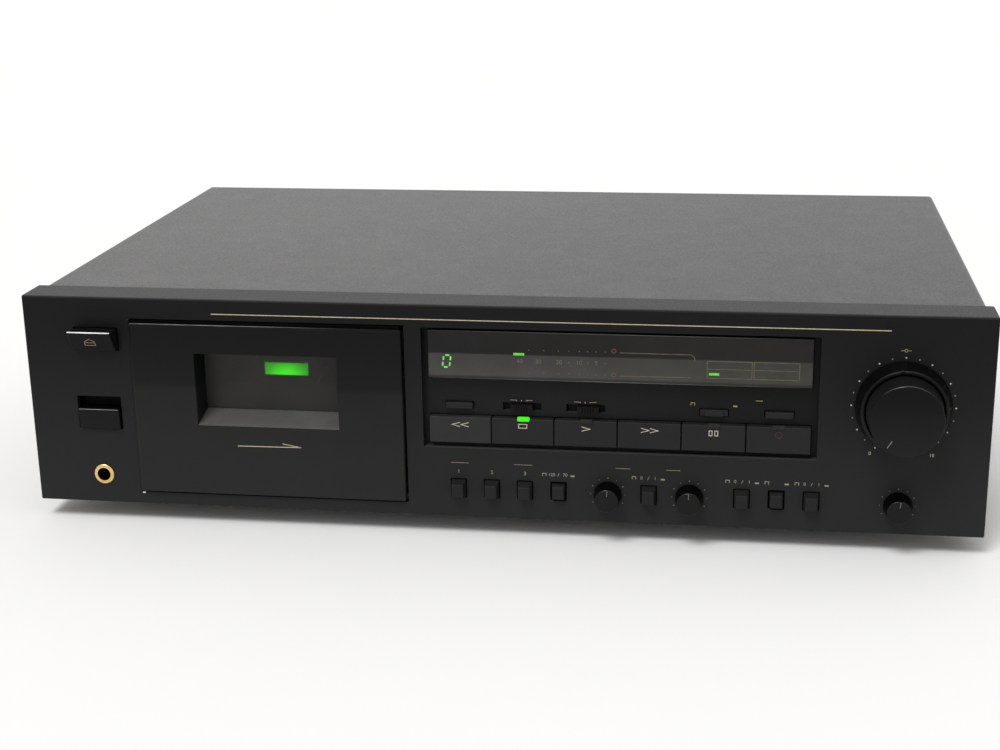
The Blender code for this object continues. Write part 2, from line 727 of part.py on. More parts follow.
PUSH_BUTTONS = {
    "tape_one_button": (bay_place(TAPE_SHARES[0]), False),
    "tape_two_button": (bay_place(TAPE_SHARES[1]), False),
    "tape_three_button": (bay_place(TAPE_SHARES[2]), False),
    "equaliser_button": (bay_place(EQUALISER_SHARE), True),
    "calibration_button": (bay_place(CALIBRATION_SHARE), False),
    "noise_reduction_button": (bay_place(NOISE_SHARES[0]), False),
    "noise_type_button": (bay_place(NOISE_SHARES[1]), True),
    "filter_button": (bay_place(NOISE_SHARES[2]), False),
}
SMALL_KNOBS = {
    "bias_knob": (bay_place(BIAS_SHARE), BIAS_SET_DEG),
    "level_knob": (bay_place(LEVEL_SHARE), LEVEL_SET_DEG),
    "output_knob": (RECORD_X, OUTPUT_SET_DEG),
}
ROW_BUTTONS = {
    "reset_button": bay_place(RESET_SHARE),
    "monitor_button": bay_place(MONITOR_SHARE),
    "record_mute_button": bay_place(MUTE_SHARE),
}
SLIDES = {
    "memory_slide": (bay_place(SLIDE_ONE_SHARE), 0),
    "timer_slide": (bay_place(SLIDE_TWO_SHARE), SLIDE_TWO_SET),
}
KEY_NAMES = ("rewind_key", "stop_key", "play_key", "forward_key", "pause_key", "record_key")


def front_panel():
    panel = box_piece(
        "front_panel",
        (-HALF_WIDTH, 0, 0),
        (HALF_WIDTH, RETURN_DEPTH, PANEL_HEIGHT),
        PANEL_BLACK,
    )
    round_edges(panel, PANEL_EDGE)
    cut(
        panel,
        "panel_inside",
        [
            (
                (RETURN_WALL - HALF_WIDTH, PANEL_WALL, RETURN_WALL),
                (HALF_WIDTH - RETURN_WALL, RETURN_DEPTH + OVER, PANEL_HEIGHT - RETURN_WALL),
            )
        ],
    )
    ears = []
    pins = []
    for side in (-1, 1):
        near = WELL_X + side * (DOOR_OPENING_WIDTH / 2 + 2 * FIT)
        far = near + side * EAR_THICKNESS
        low = (min(near, far), PANEL_WALL - OVER, PIVOT_HEIGHT - EAR_FOOT)
        high = (max(near, far), PANEL_WALL + EAR_DEPTH, PIVOT_HEIGHT + EAR_HEAD)
        ears.append((low, high))
        start = min(near - side * OVER, near + side * (PIN_REACH + FIT))
        bore = PIN_REACH + FIT + OVER
        pins.append(((start, PIVOT_BACK, PIVOT_HEIGHT), bore, PIN_RADIUS + FIT, "X", COARSE))
    fuse(panel, "hinge_ears", ears)
    cut(panel, "hinge_bores", rods=pins)

    through = (-OVER, PANEL_WALL + OVER)
    openings = [
        (
            (WELL_X - DOOR_OPENING_WIDTH / 2, through[0], DOOR_OPENING_BOTTOM),
            (WELL_X + DOOR_OPENING_WIDTH / 2, through[1], DOOR_OPENING_TOP),
        ),
        ((BAY_LEFT, through[0], BAY_BOTTOM), (BAY_RIGHT, through[1], BAY_TOP)),
        (
            (EJECT_X - EJECT_WIDTH / 2 - RUN, through[0], EJECT_BOTTOM - RUN),
            (EJECT_X + EJECT_WIDTH / 2 + RUN, through[1], EJECT_TOP + RUN),
        ),
        (
            (POWER_X - POWER_WIDTH / 2 - POWER_SIDE, through[0], POWER_BOTTOM - RUN),
            (POWER_X + POWER_WIDTH / 2 + POWER_SIDE, through[1], POWER_STEP_TOP + RUN),
        ),
    ]
    for x, _ in PUSH_BUTTONS.values():
        openings.append(around(x, PUSH_HEIGHT, PUSH_OPENING_WIDTH, PUSH_OPENING_HEIGHT, *through))
    length = PANEL_WALL + 2 * OVER
    shaft_hole = SHAFT_RADIUS + SHAFT_HOLE_CLEAR
    holes = [((x, -OVER, KNOB_HEIGHT), length, shaft_hole, "Y", COARSE) for x, _ in SMALL_KNOBS.values()]
    holes.append(((RECORD_X, -OVER, RECORD_HEIGHT), length, RING_TUBE_RADIUS + 2 * FIT, "Y", COARSE))
    holes.append(((PHONES_X, -OVER, PHONES_HEIGHT), length, PHONES_BARREL_RADIUS + FIT, "Y", COARSE))
    cut(panel, "panel_openings", openings, holes)


def control_bezel():
    left, right = BAY_LEFT - BEZEL_MARGIN, BAY_RIGHT + BEZEL_MARGIN
    bottom, top = BAY_BOTTOM - BEZEL_MARGIN, BAY_TOP + BEZEL_MARGIN
    bezel = box_piece("control_bezel", (left, BEHIND_WALL, bottom), (right, BEZEL_BACK, top), PANEL_BLACK)
    through = (BAY_DEPTH - OVER, BEZEL_BACK + OVER)
    cut(
        bezel,
        "bay",
        [((BAY_LEFT, BEHIND_WALL - OVER, BAY_BOTTOM), (BAY_RIGHT, BAY_DEPTH, BAY_TOP))],
    )
    row = (ROW_BOTTOM + ROW_TOP) / 2
    row_height = ROW_TOP - ROW_BOTTOM
    openings = [
        (
            (DISPLAY_LEFT - RUN, through[0], DISPLAY_BOTTOM - RUN),
            (DISPLAY_RIGHT + RUN, through[1], DISPLAY_TOP + RUN),
        ),
        (
            (KEYS_LEFT - RUN, through[0], KEY_BOTTOM - RUN),
            (KEYS_RIGHT + RUN, through[1], KEY_TOP + RUN),
        ),
    ]
    for x in ROW_BUTTONS.values():
        openings.append(around(x, row, ROW_BUTTON_SLOT, row_height, *through))
    for x, _ in SLIDES.values():
        openings.append(around(x, row, SLIDE_SLOT, row_height, *through))
    cut(bezel, "bezel_openings", openings)


def display():
    lens = box_piece(
        "display_window",
        (DISPLAY_LEFT, DISPLAY_FACE, DISPLAY_BOTTOM),
        (DISPLAY_RIGHT, LENS_BACK - LENS_FLANGE / 2, DISPLAY_TOP),
        SMOKED,
    )
    round_edges(lens, LENS_EDGE)
    reach = LENS_FLANGE_REACH
    fuse(
        lens,
        "lens_flange",
        [
            (
                (DISPLAY_LEFT - reach, LENS_FLANGE_FRONT, DISPLAY_BOTTOM - reach),
                (DISPLAY_RIGHT + reach, LENS_BACK, DISPLAY_TOP + reach),
            )
        ],
    )
    cut(
        lens,
        "lens_inside",
        [
            (
                (DISPLAY_LEFT + LENS_WALL, DISPLAY_FACE + LENS_WALL, DISPLAY_BOTTOM + LENS_WALL),
                (DISPLAY_RIGHT - LENS_WALL, LENS_BACK + OVER, DISPLAY_TOP - LENS_WALL),
            )
        ],
    )
    tube_back = LENS_BACK + FIT + TUBE_DEPTH
    unit = box_piece(
        "display_unit",
        (DISPLAY_LEFT - reach, tube_back, DISPLAY_BOTTOM - reach),
        (DISPLAY_RIGHT + reach, tube_back + DISPLAY_BOARD, DISPLAY_TOP + reach),
        GLASS_DARK,
    )
    margin = LENS_WALL + RUN
    fuse(
        unit,
        "display_tube",
        [
            (
                (DISPLAY_LEFT + TUBE_MARGIN, LENS_BACK + FIT, DISPLAY_BOTTOM + margin),
                (DISPLAY_RIGHT - TUBE_MARGIN, tube_back + DISPLAY_BOARD / 2, DISPLAY_TOP - margin),
            )
        ],
    )


def phones_jack():
    barrel = BEHIND_WALL + OVER
    jack = turned(
        "phones_jack",
        [
            (0, barrel),
            (PHONES_BARREL_RADIUS, barrel),
            (PHONES_BARREL_RADIUS, -FIT),
            (PHONES_RING_RADIUS, -FIT),
            (PHONES_RING_RADIUS, -PHONES_RING / 2),
            (PHONES_RING_RADIUS - PHONES_RING / 2, -PHONES_RING),
            (0, -PHONES_RING),
        ],
        GOLD,
        (PHONES_X, 0, PHONES_HEIGHT),
    )
    body = around(PHONES_X, PHONES_HEIGHT, PHONES_BODY, PHONES_BODY, BEHIND_WALL, PHONES_BODY_END)
    fuse(jack, "phones_body", [body])
    bore = ((PHONES_X, -PHONES_RING - OVER, PHONES_HEIGHT), PHONES_BORE_END + PHONES_RING, PHONES_BORE_RADIUS)
    cut(jack, "phones_bore", rods=[(*bore, "Y", COARSE)])


def cassette_door():
    bottom, top = DOOR_OPENING_BOTTOM + DOOR_GAP, DOOR_OPENING_TOP - DOOR_TOP_GAP
    pivot = (WELL_X, PIVOT_BACK, PIVOT_HEIGHT)
    low, high = bottom - PIVOT_HEIGHT, top - PIVOT_HEIGHT
    face, back = -DOOR_PROUD - PIVOT_BACK, DOOR_BACK - PIVOT_BACK
    door = box_piece("cassette_door", (-DOOR_HALF, face, low), (DOOR_HALF, back, high), DOOR_BLACK, pivot)
    round_edges(door, DOOR_EDGE)
    cut(
        door,
        "door_rebate",
        [((-DOOR_HALF - OVER, face + DOOR_LIP, low - OVER), (DOOR_HALF + OVER, back + OVER, low + DOOR_LIP_HEIGHT))],
        at=pivot,
    )
    half = WINDOW_WIDTH / 2
    pocket_back = POCKET_DEPTH - PIVOT_BACK
    window_low, window_high = WINDOW_BOTTOM - PIVOT_HEIGHT, WINDOW_TOP - PIVOT_HEIGHT
    fuse(
        door,
        "window_pocket",
        [
            (
                (-half - POCKET_WALL, back - OVER, window_low - POCKET_WALL),
                (half + POCKET_WALL, pocket_back, window_high + POCKET_WALL),
            )
        ],
        at=pivot,
    )
    bm = bmesh.new()
    corners = put_box(bm, (-half, face - OVER, window_low), (half, pocket_back + OVER, window_high))
    for vert in corners:
        if vert.co.y > 0:
            vert.co.x -= math.copysign(WINDOW_DRAFT, vert.co.x)
            vert.co.z += LEDGE_RISE if vert.co.z < (window_low + window_high) / 2 else -WINDOW_DRAFT
    opening = place("window_opening_cut", mesh_of(bm, "window_opening"), None, pivot, helper=True)
    boolean(door, opening, "DIFFERENCE")
    seat_low = window_low + LEDGE_RISE - POCKET_WALL
    pane_front = pocket_back - PANE_THICKNESS
    cut(
        door,
        "pane_seat",
        [((-half, pane_front - FIT, seat_low), (half, pocket_back + OVER, window_high))],
        at=pivot,
    )
    box_piece(
        "door_window",
        (FIT - half, pane_front, seat_low + FIT),
        (half - FIT, pocket_back, window_high - FIT),
        SMOKED,
        pivot,
    )


def cassette_holder():
    pivot = Vector((WELL_X, PIVOT_BACK, PIVOT_HEIGHT))
    arm_half = DOOR_HALF - HOLDER_ARM_CLEAR
    window_half = HOLDER_WINDOW_WIDTH / 2
    moved = Vector((0, PIVOT_BACK, PIVOT_HEIGHT))

    def local(low, high):
        return (Vector(low) - moved, Vector(high) - moved)

    plate_half = arm_half - HOLDER_ARM / 3
    bridge_top = WINDOW_BOTTOM + HOLDER_BRIDGE
    window_top = WINDOW_TOP + HOLDER_WINDOW_OVER
    holder = shape(
        "cassette_holder",
        [local((-plate_half, HOLDER_FACE, HOLDER_FRONT_FOOT), (plate_half, HOLDER_BACK, HOLDER_TOP))],
        helper=False,
        finish=HOLDER_GREY,
        at=pivot,
    )
    cut(
        holder,
        "holder_window",
        [local((-window_half, HOLDER_FACE - OVER, bridge_top), (window_half, HOLDER_BACK + OVER, window_top))],
        at=pivot,
    )
    lip_back = HOLDER_LIP_FRONT + HOLDER_LIP_WALL
    wall_back = HOLDER_LIP_FRONT + HOLDER_LIP_WALL / 2
    inside = HOLDER_BACK - HOLDER_FRONT / 2
    shelf_top = CASSETTE_FOOT - FIT
    shelf_low = shelf_top - HOLDER_SHELF
    shelf_end = HOLDER_HALF - HOLDER_SHELF_LENGTH
    shelf_back = HOLDER_LIP_FRONT - HOLDER_SHELF
    outer = HOLDER_HALF + HOLDER_WALL
    for side, word in ((-1, "left"), (1, "right")):

        def rail(name, near, far, front, back, low, high):
            ends = sorted((side * near, side * far))
            fuse(
                holder,
                f"holder_{word}_{name}",
                [local((ends[0], front, low), (ends[1], back, high))],
                at=pivot,
            )

        rail("wall", HOLDER_HALF, outer, inside, wall_back, shelf_low - FIT, HOLDER_TOP - FIT)
        rail("lip", HOLDER_HALF - HOLDER_LIP, outer - FIT, HOLDER_LIP_FRONT, lip_back, CAPSTAN_HEIGHT, HOLDER_TOP - 2 * FIT)
        rail("shelf", shelf_end, HOLDER_HALF + HOLDER_WALL / 2, inside, shelf_back, shelf_low, shelf_top)
        heel = 2 * PIN_RADIUS
        toe = 3 * PIN_RADIUS / 2
        sole = 4 * PIN_RADIUS / 3
        arm_front = HOLDER_FACE + FIT / 3 - PIVOT_BACK
        arm_back = HOLDER_BACK + OVER - PIVOT_BACK
        foot = HOLDER_FRONT_FOOT - PIVOT_HEIGHT
        top = HOLDER_TOP - FIT - PIVOT_HEIGHT
        arm_points = [
            (-toe, -sole),
            (heel, -sole),
            (arm_back, foot - FIT),
            (arm_back, top),
            (arm_front, top),
            (arm_front, foot + heel),
            (-toe, heel),
        ]
        arm = outline(
            f"holder_{word}_arm_add",
            arm_points,
            HOLDER_ARM,
            "YZ",
            None,
            pivot + Vector((side * (arm_half - HOLDER_ARM / 2), 0, 0)),
            helper=True,
        )
        boolean(holder, arm, "UNION")
        near = arm_half - HOLDER_ARM / 2
        far = DOOR_OPENING_WIDTH / 2 + 2 * FIT + PIN_REACH
        start = near if side > 0 else -far
        fuse(
            holder,
            f"holder_{word}_pin",
            rods=[((start, 0, 0), far - near, PIN_RADIUS, "X", SMALL)],
            at=pivot,
        )


def case():
    tray = box_piece(
        "chassis_base",
        (-TRAY_HALF, BEHIND_WALL, FLOOR_BOTTOM),
        (TRAY_HALF, REAR_PLATE_FRONT - FIT, TRAY_WALL),
        STEEL,
    )
    cut(
        tray,
        "tray_inside",
        [
            (
                (SHEET - TRAY_HALF, BEHIND_WALL - OVER, FLOOR_TOP),
                (TRAY_HALF - SHEET, REAR_PLATE_FRONT + OVER, TRAY_WALL + OVER),
            )
        ],
    )
    posts = []
    length = MAIN_BOARD_RISE + OVER
    for x in (MAIN_BOARD_LEFT + POST_INSET, MAIN_BOARD_RIGHT - POST_INSET):
        for y in (MAIN_BOARD_FRONT + POST_INSET, MAIN_BOARD_REAR - POST_INSET):
            posts.append(((x, y, FLOOR_TOP - OVER), length, POST_RADIUS, "Z", SMALL))
    fuse(tray, "board_posts", rods=posts)
    left, right = POWER_X - POWER_SWITCH_WIDTH / 2, POWER_X + POWER_SWITCH_WIDTH / 2
    front = POWER_STEM_END + FIT
    back = front + POWER_SWITCH_DEPTH
    fuse(tray, "power_switch", [((left, front, POWER_BOTTOM), (right, back, POWER_TOP))])
    bracket = ((left - OVER, back - SHEET, FLOOR_TOP - OVER), (right + OVER, back + OVER, POWER_TOP + OVER))
    fuse(tray, "switch_bracket", [bracket])
    vents = []
    middle = (MAIN_BOARD_FRONT + MAIN_BOARD_REAR) / 2
    for i in range(VENT_COUNT):
        x = (i - (VENT_COUNT - 1) / 2) * VENT_PITCH
        vents.append(
            (
                (x - VENT_WIDTH / 2, middle - VENT_LENGTH / 2, FLOOR_BOTTOM - OVER),
                (x + VENT_WIDTH / 2, middle + VENT_LENGTH / 2, FLOOR_TOP + OVER),
            )
        )
    cut(tray, "floor_vents", vents)

    rear_top = COVER_TOP - SHEET - FIT
    corner = TRAY_HALF - COVER_BEND
    rear_points = [(-TRAY_HALF, FLOOR_BOTTOM), (TRAY_HALF, FLOOR_BOTTOM)]
    rear_points += arc((corner, rear_top - COVER_BEND), COVER_BEND, 0, 90, 4)
    rear_points += arc((-corner, rear_top - COVER_BEND), COVER_BEND, 90, 180, 4)
    middle_y = (REAR_PLATE_FRONT + REAR_PLATE_BACK) / 2
    rear = outline("rear_panel", rear_points, SHEET, "XZ", CASE_PAINT, (0, middle_y, 0))
    depth = SHEET + 2 * OVER
    holes = [((GLAND_X, REAR_PLATE_FRONT - OVER, GLAND_HEIGHT), depth, GLAND_NECK + FIT, "Y", COARSE)]
    for x, z in jack_places():
        holes.append(((x, REAR_PLATE_FRONT - OVER, z), depth, JACK_RADIUS + FIT, "Y", COARSE))
    cut(rear, "rear_holes", rods=holes)

    cover_profile = (
        [(-COVER_HALF, FLOOR_BOTTOM)]
        + arc((COVER_BEND - COVER_HALF, COVER_TOP - COVER_BEND), COVER_BEND, 180, 90, 4)
        + arc((COVER_HALF - COVER_BEND, COVER_TOP - COVER_BEND), COVER_BEND, 90, 0, 4)
        + [(COVER_HALF, FLOOR_BOTTOM)]
    )
    bm = bmesh.new()
    row = [bm.verts.new((x, COVER_FRONT, z)) for x, z in cover_profile]
    edges = [bm.edges.new(pair) for pair in zip(row, row[1:])]
    swept = bmesh.ops.extrude_edge_only(bm, edges=edges)["geom"]
    far = [item for item in swept if isinstance(item, bmesh.types.BMVert)]
    bmesh.ops.translate(bm, verts=far, vec=(0, CASE_DEPTH - COVER_FRONT, 0))
    bmesh.ops.recalc_face_normals(bm, faces=bm.faces)
    up = sum(face.normal.z * face.calc_area() for face in bm.faces)
    if up < 0:
        bmesh.ops.reverse_faces(bm, faces=bm.faces)
    cover = place("top_cover", mesh_of(bm, "top_cover"), CASE_PAINT)
    wall = cover.modifiers.new("sheet", "SOLIDIFY")
    wall.thickness = SHEET
    wall.offset = -1
    wall.use_even_offset = True
    heads = []
    for side in (-1, 1):
        start = COVER_HALF - SHEET / 2 if side > 0 else -COVER_HALF - SCREW_HEAD_RISE
        for y in (SCREW_FRONT, CASE_DEPTH - SCREW_TO_REAR):
            heads.append(((start, y, SCREW_HEIGHT), SCREW_HEAD_RISE + SHEET / 2, SCREW_HEAD_RADIUS, "X", SMALL))
    fuse(cover, "side_screws", rods=heads)


def feet():
    top = FLOOR_BOTTOM - FIT
    foot_x = HALF_WIDTH - FOOT_TO_SIDE
    for word_y, y in (("front", FOOT_FRONT), ("rear", CASE_DEPTH - FOOT_TO_REAR)):
        for word_x, side in (("left", -1), ("right", 1)):
            turned(
                f"foot_{word_y}_{word_x}",
                [
                    (0, top),
                    (FOOT_RADIUS, top),
                    (FOOT_RADIUS - FOOT_TAPER, -FOOT_CLEAR),
                    (FOOT_RECESS_RADIUS, -FOOT_CLEAR),
                    (FOOT_RECESS_RADIUS, FOOT_RECESS_DEPTH - FOOT_CLEAR),
                    (0, FOOT_RECESS_DEPTH - FOOT_CLEAR),
                ],
                RUBBER,
                (side * foot_x, y, 0),
                COARSE,
                (0, 0, 0),
            )


def transport():
    plate_half = DOOR_OPENING_WIDTH / 2 + TRANSPORT_SIDE
    frame = box_piece(
        "transport_frame",
        (WELL_X - plate_half, TRANSPORT_BACK, FLOOR_TOP + FIT),
        (WELL_X + plate_half, TRANSPORT_PLATE_BACK, TRANSPORT_TOP),
        STEEL,
    )
    posts = []
    length = CAGE_BACK - TRANSPORT_PLATE_BACK + 2 * OVER
    for side in (-1, 1):
        for z in (CAGE_POST_LOW, CAGE_TOP - CAGE_POST_LOW / 2):
            x = WELL_X + side * (CAGE_HALF_WIDTH - CAGE_POST_INSET)
            posts.append(((x, TRANSPORT_PLATE_BACK - OVER, z), length, CAGE_POST_RADIUS, "Y", SMALL))
    fuse(frame, "cage_posts", rods=posts)
    tab = (EJECT_X - EJECT_WIDTH / 2, TRANSPORT_BACK, EJECT_BOTTOM)
    fuse(frame, "eject_tab", [(tab, (WELL_X - plate_half + OVER, TRANSPORT_PLATE_BACK, EJECT_TOP))])
    fuse(
        frame,
        "cage_plate",
        [
            (
                (WELL_X - CAGE_HALF_WIDTH, CAGE_BACK, FLOOR_TOP + FIT),
                (WELL_X + CAGE_HALF_WIDTH, CAGE_PLATE_BACK, CAGE_TOP),
            )
        ],
    )
    pins = []
    arm_front = TRANSPORT_BACK - ARM_THICKNESS - 3 * FIT
    for side in (-1, 1):
        x = WELL_X + side * ARM_PIVOT_SIDE
        pins.append(((x, arm_front, ARM_PIVOT_HEIGHT), TRANSPORT_BACK + OVER - arm_front, ARM_PIN_RADIUS, "Y", SMALL))
        block_front = TRANSPORT_BACK - HEAD_BLOCK_PLATE - 2 * FIT
        x = WELL_X + side * GUIDE_PIN_SIDE
        z = HEAD_BLOCK_FOOT + HEAD_BLOCK_HEIGHT - GUIDE_PIN_RADIUS - 3 * FIT
        pins.append(((x, block_front, z), TRANSPORT_BACK + OVER - block_front, GUIDE_PIN_RADIUS, "Y", SMALL))
    fuse(frame, "transport_pins", rods=pins)
    front, depth = TRANSPORT_BACK - OVER, TRANSPORT_PLATE + 2 * OVER
    holes = []
    for side in (-1, 1):
        x = WELL_X + side * HUB_SPACING / 2
        holes.append(((x, front, HUB_HEIGHT), depth, SPINDLE_SHAFT_RADIUS + FIT, "Y", COARSE))
        x = WELL_X + side * CAPSTAN_SPACING / 2
        holes.append(((x, front, CAPSTAN_HEIGHT), depth, CAPSTAN_RADIUS + FIT, "Y", SMALL))
        reach = CAGE_PLATE + 2 * OVER
        holes.append(((x, CAGE_BACK - OVER, CAPSTAN_HEIGHT), reach, CAPSTAN_RADIUS + FIT, "Y", SMALL))
    light = around(
        WELL_X,
        HUB_HEIGHT + LIGHT_RISE,
        LIGHT_WIDTH + 2 * FIT,
        LIGHT_HEIGHT + 2 * FIT,
        front,
        front + depth,
    )
    cut(frame, "transport_holes", [light], holes)
    low, high = around(
        WELL_X,
        HUB_HEIGHT + LIGHT_RISE,
        LIGHT_WIDTH,
        LIGHT_HEIGHT,
        TRANSPORT_BACK - FIT,
        TRANSPORT_BACK - FIT + LIGHT_DEPTH,
    )
    box_piece("cassette_light", low, high, LAMP_GREEN)


def reels():
    tip, flange_back = SPINDLE_TIP, TRANSPORT_BACK - FIT
    disc_front = TRANSPORT_PLATE_BACK + REEL_DISC_BACK
    for word, side in (("supply", -1), ("takeup", 1)):
        spindle = turned(
            f"{word}_spindle",
            [
                (0, disc_front + REEL_DISC),
                (REEL_DISC_RADIUS, disc_front + REEL_DISC),
                (REEL_DISC_RADIUS, disc_front),
                (SPINDLE_SHAFT_RADIUS, disc_front),
                (SPINDLE_SHAFT_RADIUS, flange_back),
                (SPINDLE_FLANGE_RADIUS, flange_back),
                (SPINDLE_FLANGE_RADIUS, flange_back - SPINDLE_FLANGE),
                (SPINDLE_RADIUS, flange_back - SPINDLE_FLANGE),
                (SPINDLE_RADIUS, tip + SPINDLE_FIN_FRONT),
                (SPINDLE_TIP_RADIUS, tip),
                (0, tip),
            ],
            HOLDER_GREY,
            (WELL_X + side * HUB_SPACING / 2, 0, HUB_HEIGHT),
            COARSE,
        )
        for i in range(SPINDLE_FINS):
            front = tip + SPINDLE_FIN_FRONT
            fin = shape(
                f"{word}_fin_{i + 1}_add",
                [
                    (
                        (-SPINDLE_FIN_WIDTH / 2, front, 0),
                        (SPINDLE_FIN_WIDTH / 2, front + SPINDLE_FIN_LENGTH, SPINDLE_FIN_REACH),
                    )
                ],
                at=(WELL_X + side * HUB_SPACING / 2, 0, HUB_HEIGHT),
            )
            fin.rotation_euler = (0, 2 * math.pi * i / SPINDLE_FINS, 0)
            boolean(spindle, fin, "UNION")


def capstans():
    front, back = FLYWHEEL_FRONT, FLYWHEEL_FRONT + FLYWHEEL_RIM
    web_front = (front + back - FLYWHEEL_WEB) / 2
    web_back = web_front + FLYWHEEL_WEB
    rim = FLYWHEEL_RADIUS - FLYWHEEL_RIM_WALL
    for word, side in (("supply", -1), ("takeup", 1)):
        wheel = turned(
            f"{word}_capstan",
            [
                (0, CAGE_PLATE_BACK - FIT),
                (CAPSTAN_RADIUS, CAGE_PLATE_BACK - FIT),
                (CAPSTAN_RADIUS, back),
                (FLYWHEEL_HUB, back),
                (FLYWHEEL_HUB, web_back),
                (rim, web_back),
                (rim, back),
                (FLYWHEEL_RADIUS, back),
                (FLYWHEEL_RADIUS, front),
                (rim, front),
                (rim, web_front),
                (FLYWHEEL_HUB, web_front),
                (FLYWHEEL_HUB, front),
                (CAPSTAN_RADIUS, front),
                (CAPSTAN_RADIUS, CAPSTAN_TIP),
                (0, CAPSTAN_TIP),
            ],
            BRIGHT_STEEL,
            (WELL_X + side * CAPSTAN_SPACING / 2, 0, CAPSTAN_HEIGHT),
            WHEEL,
        )
        smooth(wheel)
    inner = FLYWHEEL_RADIUS + FIT
    ends = [(side * CAPSTAN_SPACING / 2, 0) for side in (-1, 1)]
    outline(
        "capstan_belt",
        stadium(*ends, inner + BELT_THICKNESS),
        BELT_WIDTH,
        "XZ",
        RUBBER,
        (WELL_X, (front + back) / 2, CAPSTAN_HEIGHT),
        hole=stadium(*ends, inner),
    )


def motor(name, x, z, radius, length):
    front = CAGE_PLATE_BACK + FIT
    back = front + length
    turned(
        name,
        [
            (0, back + MOTOR_BOSS),
            (MOTOR_BOSS_RADIUS, back + MOTOR_BOSS),
            (MOTOR_BOSS_RADIUS, back),
            (radius - MOTOR_EDGE, back),
            (radius, back - MOTOR_EDGE),
            (radius, front + MOTOR_EDGE),
            (radius - MOTOR_EDGE, front),
            (0, front),
        ],
        MOTOR_STEEL,
        (x, 0, z),
    )


def head_block():
    plate_back = TRANSPORT_BACK - FIT
    plate_front = plate_back - HEAD_BLOCK_PLATE
    top = HEAD_BLOCK_FOOT + HEAD_BLOCK_HEIGHT
    block = box_piece(
        "head_block",
        (WELL_X - HEAD_BLOCK_HALF_WIDTH, plate_front, HEAD_BLOCK_FOOT),
        (WELL_X + HEAD_BLOCK_HALF_WIDTH, plate_back, top),
        STEEL,
    )
    shelf_low = HEAD_BLOCK_FOOT + HEAD_SHELF_RISE
    shelf_top = shelf_low + HEAD_SHELF
    slot_clear = GUIDE_PIN_RADIUS + FIT
    slots = []
    for side in (-1, 1):
        x = WELL_X + side * GUIDE_PIN_SIDE
        pin = top - GUIDE_PIN_RADIUS - 3 * FIT
        slots.append(
            (
                (x - slot_clear, plate_front - OVER, pin - slot_clear - HEAD_LIFT),
                (x + slot_clear, plate_back + OVER, top + OVER),
            )
        )
    cut(block, "guide_slots", slots)
    width = GUIDE_PIN_SIDE - slot_clear - OVER
    fuse(
        block,
        "head_shelf",
        [((WELL_X - width, HEAD_SHELF_FRONT, shelf_low), (WELL_X + width, plate_front + HEAD_BLOCK_PLATE / 2, shelf_top))],
    )
    offset = TAPE_HEAD_WIDTH + HEAD_GAP / 2
    heads = (
        ("erase_head", -offset - HEAD_GAP / 2, ERASE_HEAD_WIDTH),
        ("record_head", -TAPE_HEAD_WIDTH / 2, TAPE_HEAD_WIDTH),
        ("playback_head", offset - TAPE_HEAD_WIDTH / 2, TAPE_HEAD_WIDTH),
    )
    for name, x, width in heads:
        half = width / 2 - 2 * FIT
        face = math.degrees(math.asin(half / HEAD_FACE_RADIUS))
        crown = shelf_top + HEAD_HEIGHT
        centre = (0, crown - HEAD_FACE_RADIUS)
        points = [(-half, shelf_low + HEAD_SHELF / 2), (half, shelf_low + HEAD_SHELF / 2)]
        points += arc(centre, HEAD_FACE_RADIUS, 90 - face, 90 + face, 6)
        piece = outline(
            f"{name}_add",
            points,
            HEAD_DEPTH,
            "XZ",
            None,
            (WELL_X + x, HEAD_FRONT + HEAD_DEPTH / 2, 0),
            helper=True,
        )
        boolean(block, piece, "UNION")


def pinch_rollers():
    arm_back = TRANSPORT_BACK - 2 * FIT
    arm_front = arm_back - ARM_THICKNESS
    for word, side in (("supply", -1), ("takeup", 1)):
        pivot = (WELL_X + side * ARM_PIVOT_SIDE, 0, ARM_PIVOT_HEIGHT)
        angle = math.radians(180 + ARM_REST_DEG)
        reach = (side * ARM_LENGTH * math.cos(angle), ARM_LENGTH * math.sin(angle))
        lean = math.degrees(math.atan2(reach[1], reach[0]))
        points = arc(reach, ARM_END_RADIUS, lean - 90, lean + 90, SMALL)
        points += arc((0, 0), ARM_END_RADIUS, lean + 90, lean + 270, SMALL)
        arm = outline(
            f"{word}_pinch_arm",
            points,
            ARM_THICKNESS,
            "XZ",
            STEEL,
            (pivot[0], (arm_front + arm_back) / 2, pivot[2]),
        )
        axle = (pivot[0] + reach[0], 0, pivot[2] + reach[1])
        roller_back = arm_front - FIT
        roller_front = roller_back - ROLLER_WIDTH
        axle_front = roller_front - 2 * FIT
        fuse(
            arm,
            f"{word}_roller_axle",
            rods=[((axle[0], axle_front, axle[2]), arm_front + ARM_THICKNESS / 2 - axle_front, ROLLER_AXLE_RADIUS, "Y", SMALL)],
        )
        cut(
            arm,
            f"{word}_arm_bore",
            rods=[((pivot[0], arm_front - OVER, pivot[2]), ARM_THICKNESS + 2 * OVER, ARM_PIN_RADIUS + FIT, "Y", SMALL)],
        )
        roller = turned(
            f"{word}_pinch_roller",
            [
                (ROLLER_AXLE_RADIUS + FIT, roller_back),
                (ROLLER_HUB_RADIUS, roller_back),
                (ROLLER_RADIUS, roller_back - FIT),
                (ROLLER_RADIUS, roller_front + FIT),
                (ROLLER_HUB_RADIUS, roller_front),
                (ROLLER_AXLE_RADIUS + FIT, roller_front),
                (ROLLER_AXLE_RADIUS + FIT, roller_back),
            ],
            RUBBER,
            axle,
            COARSE,
        )
        smooth(roller)


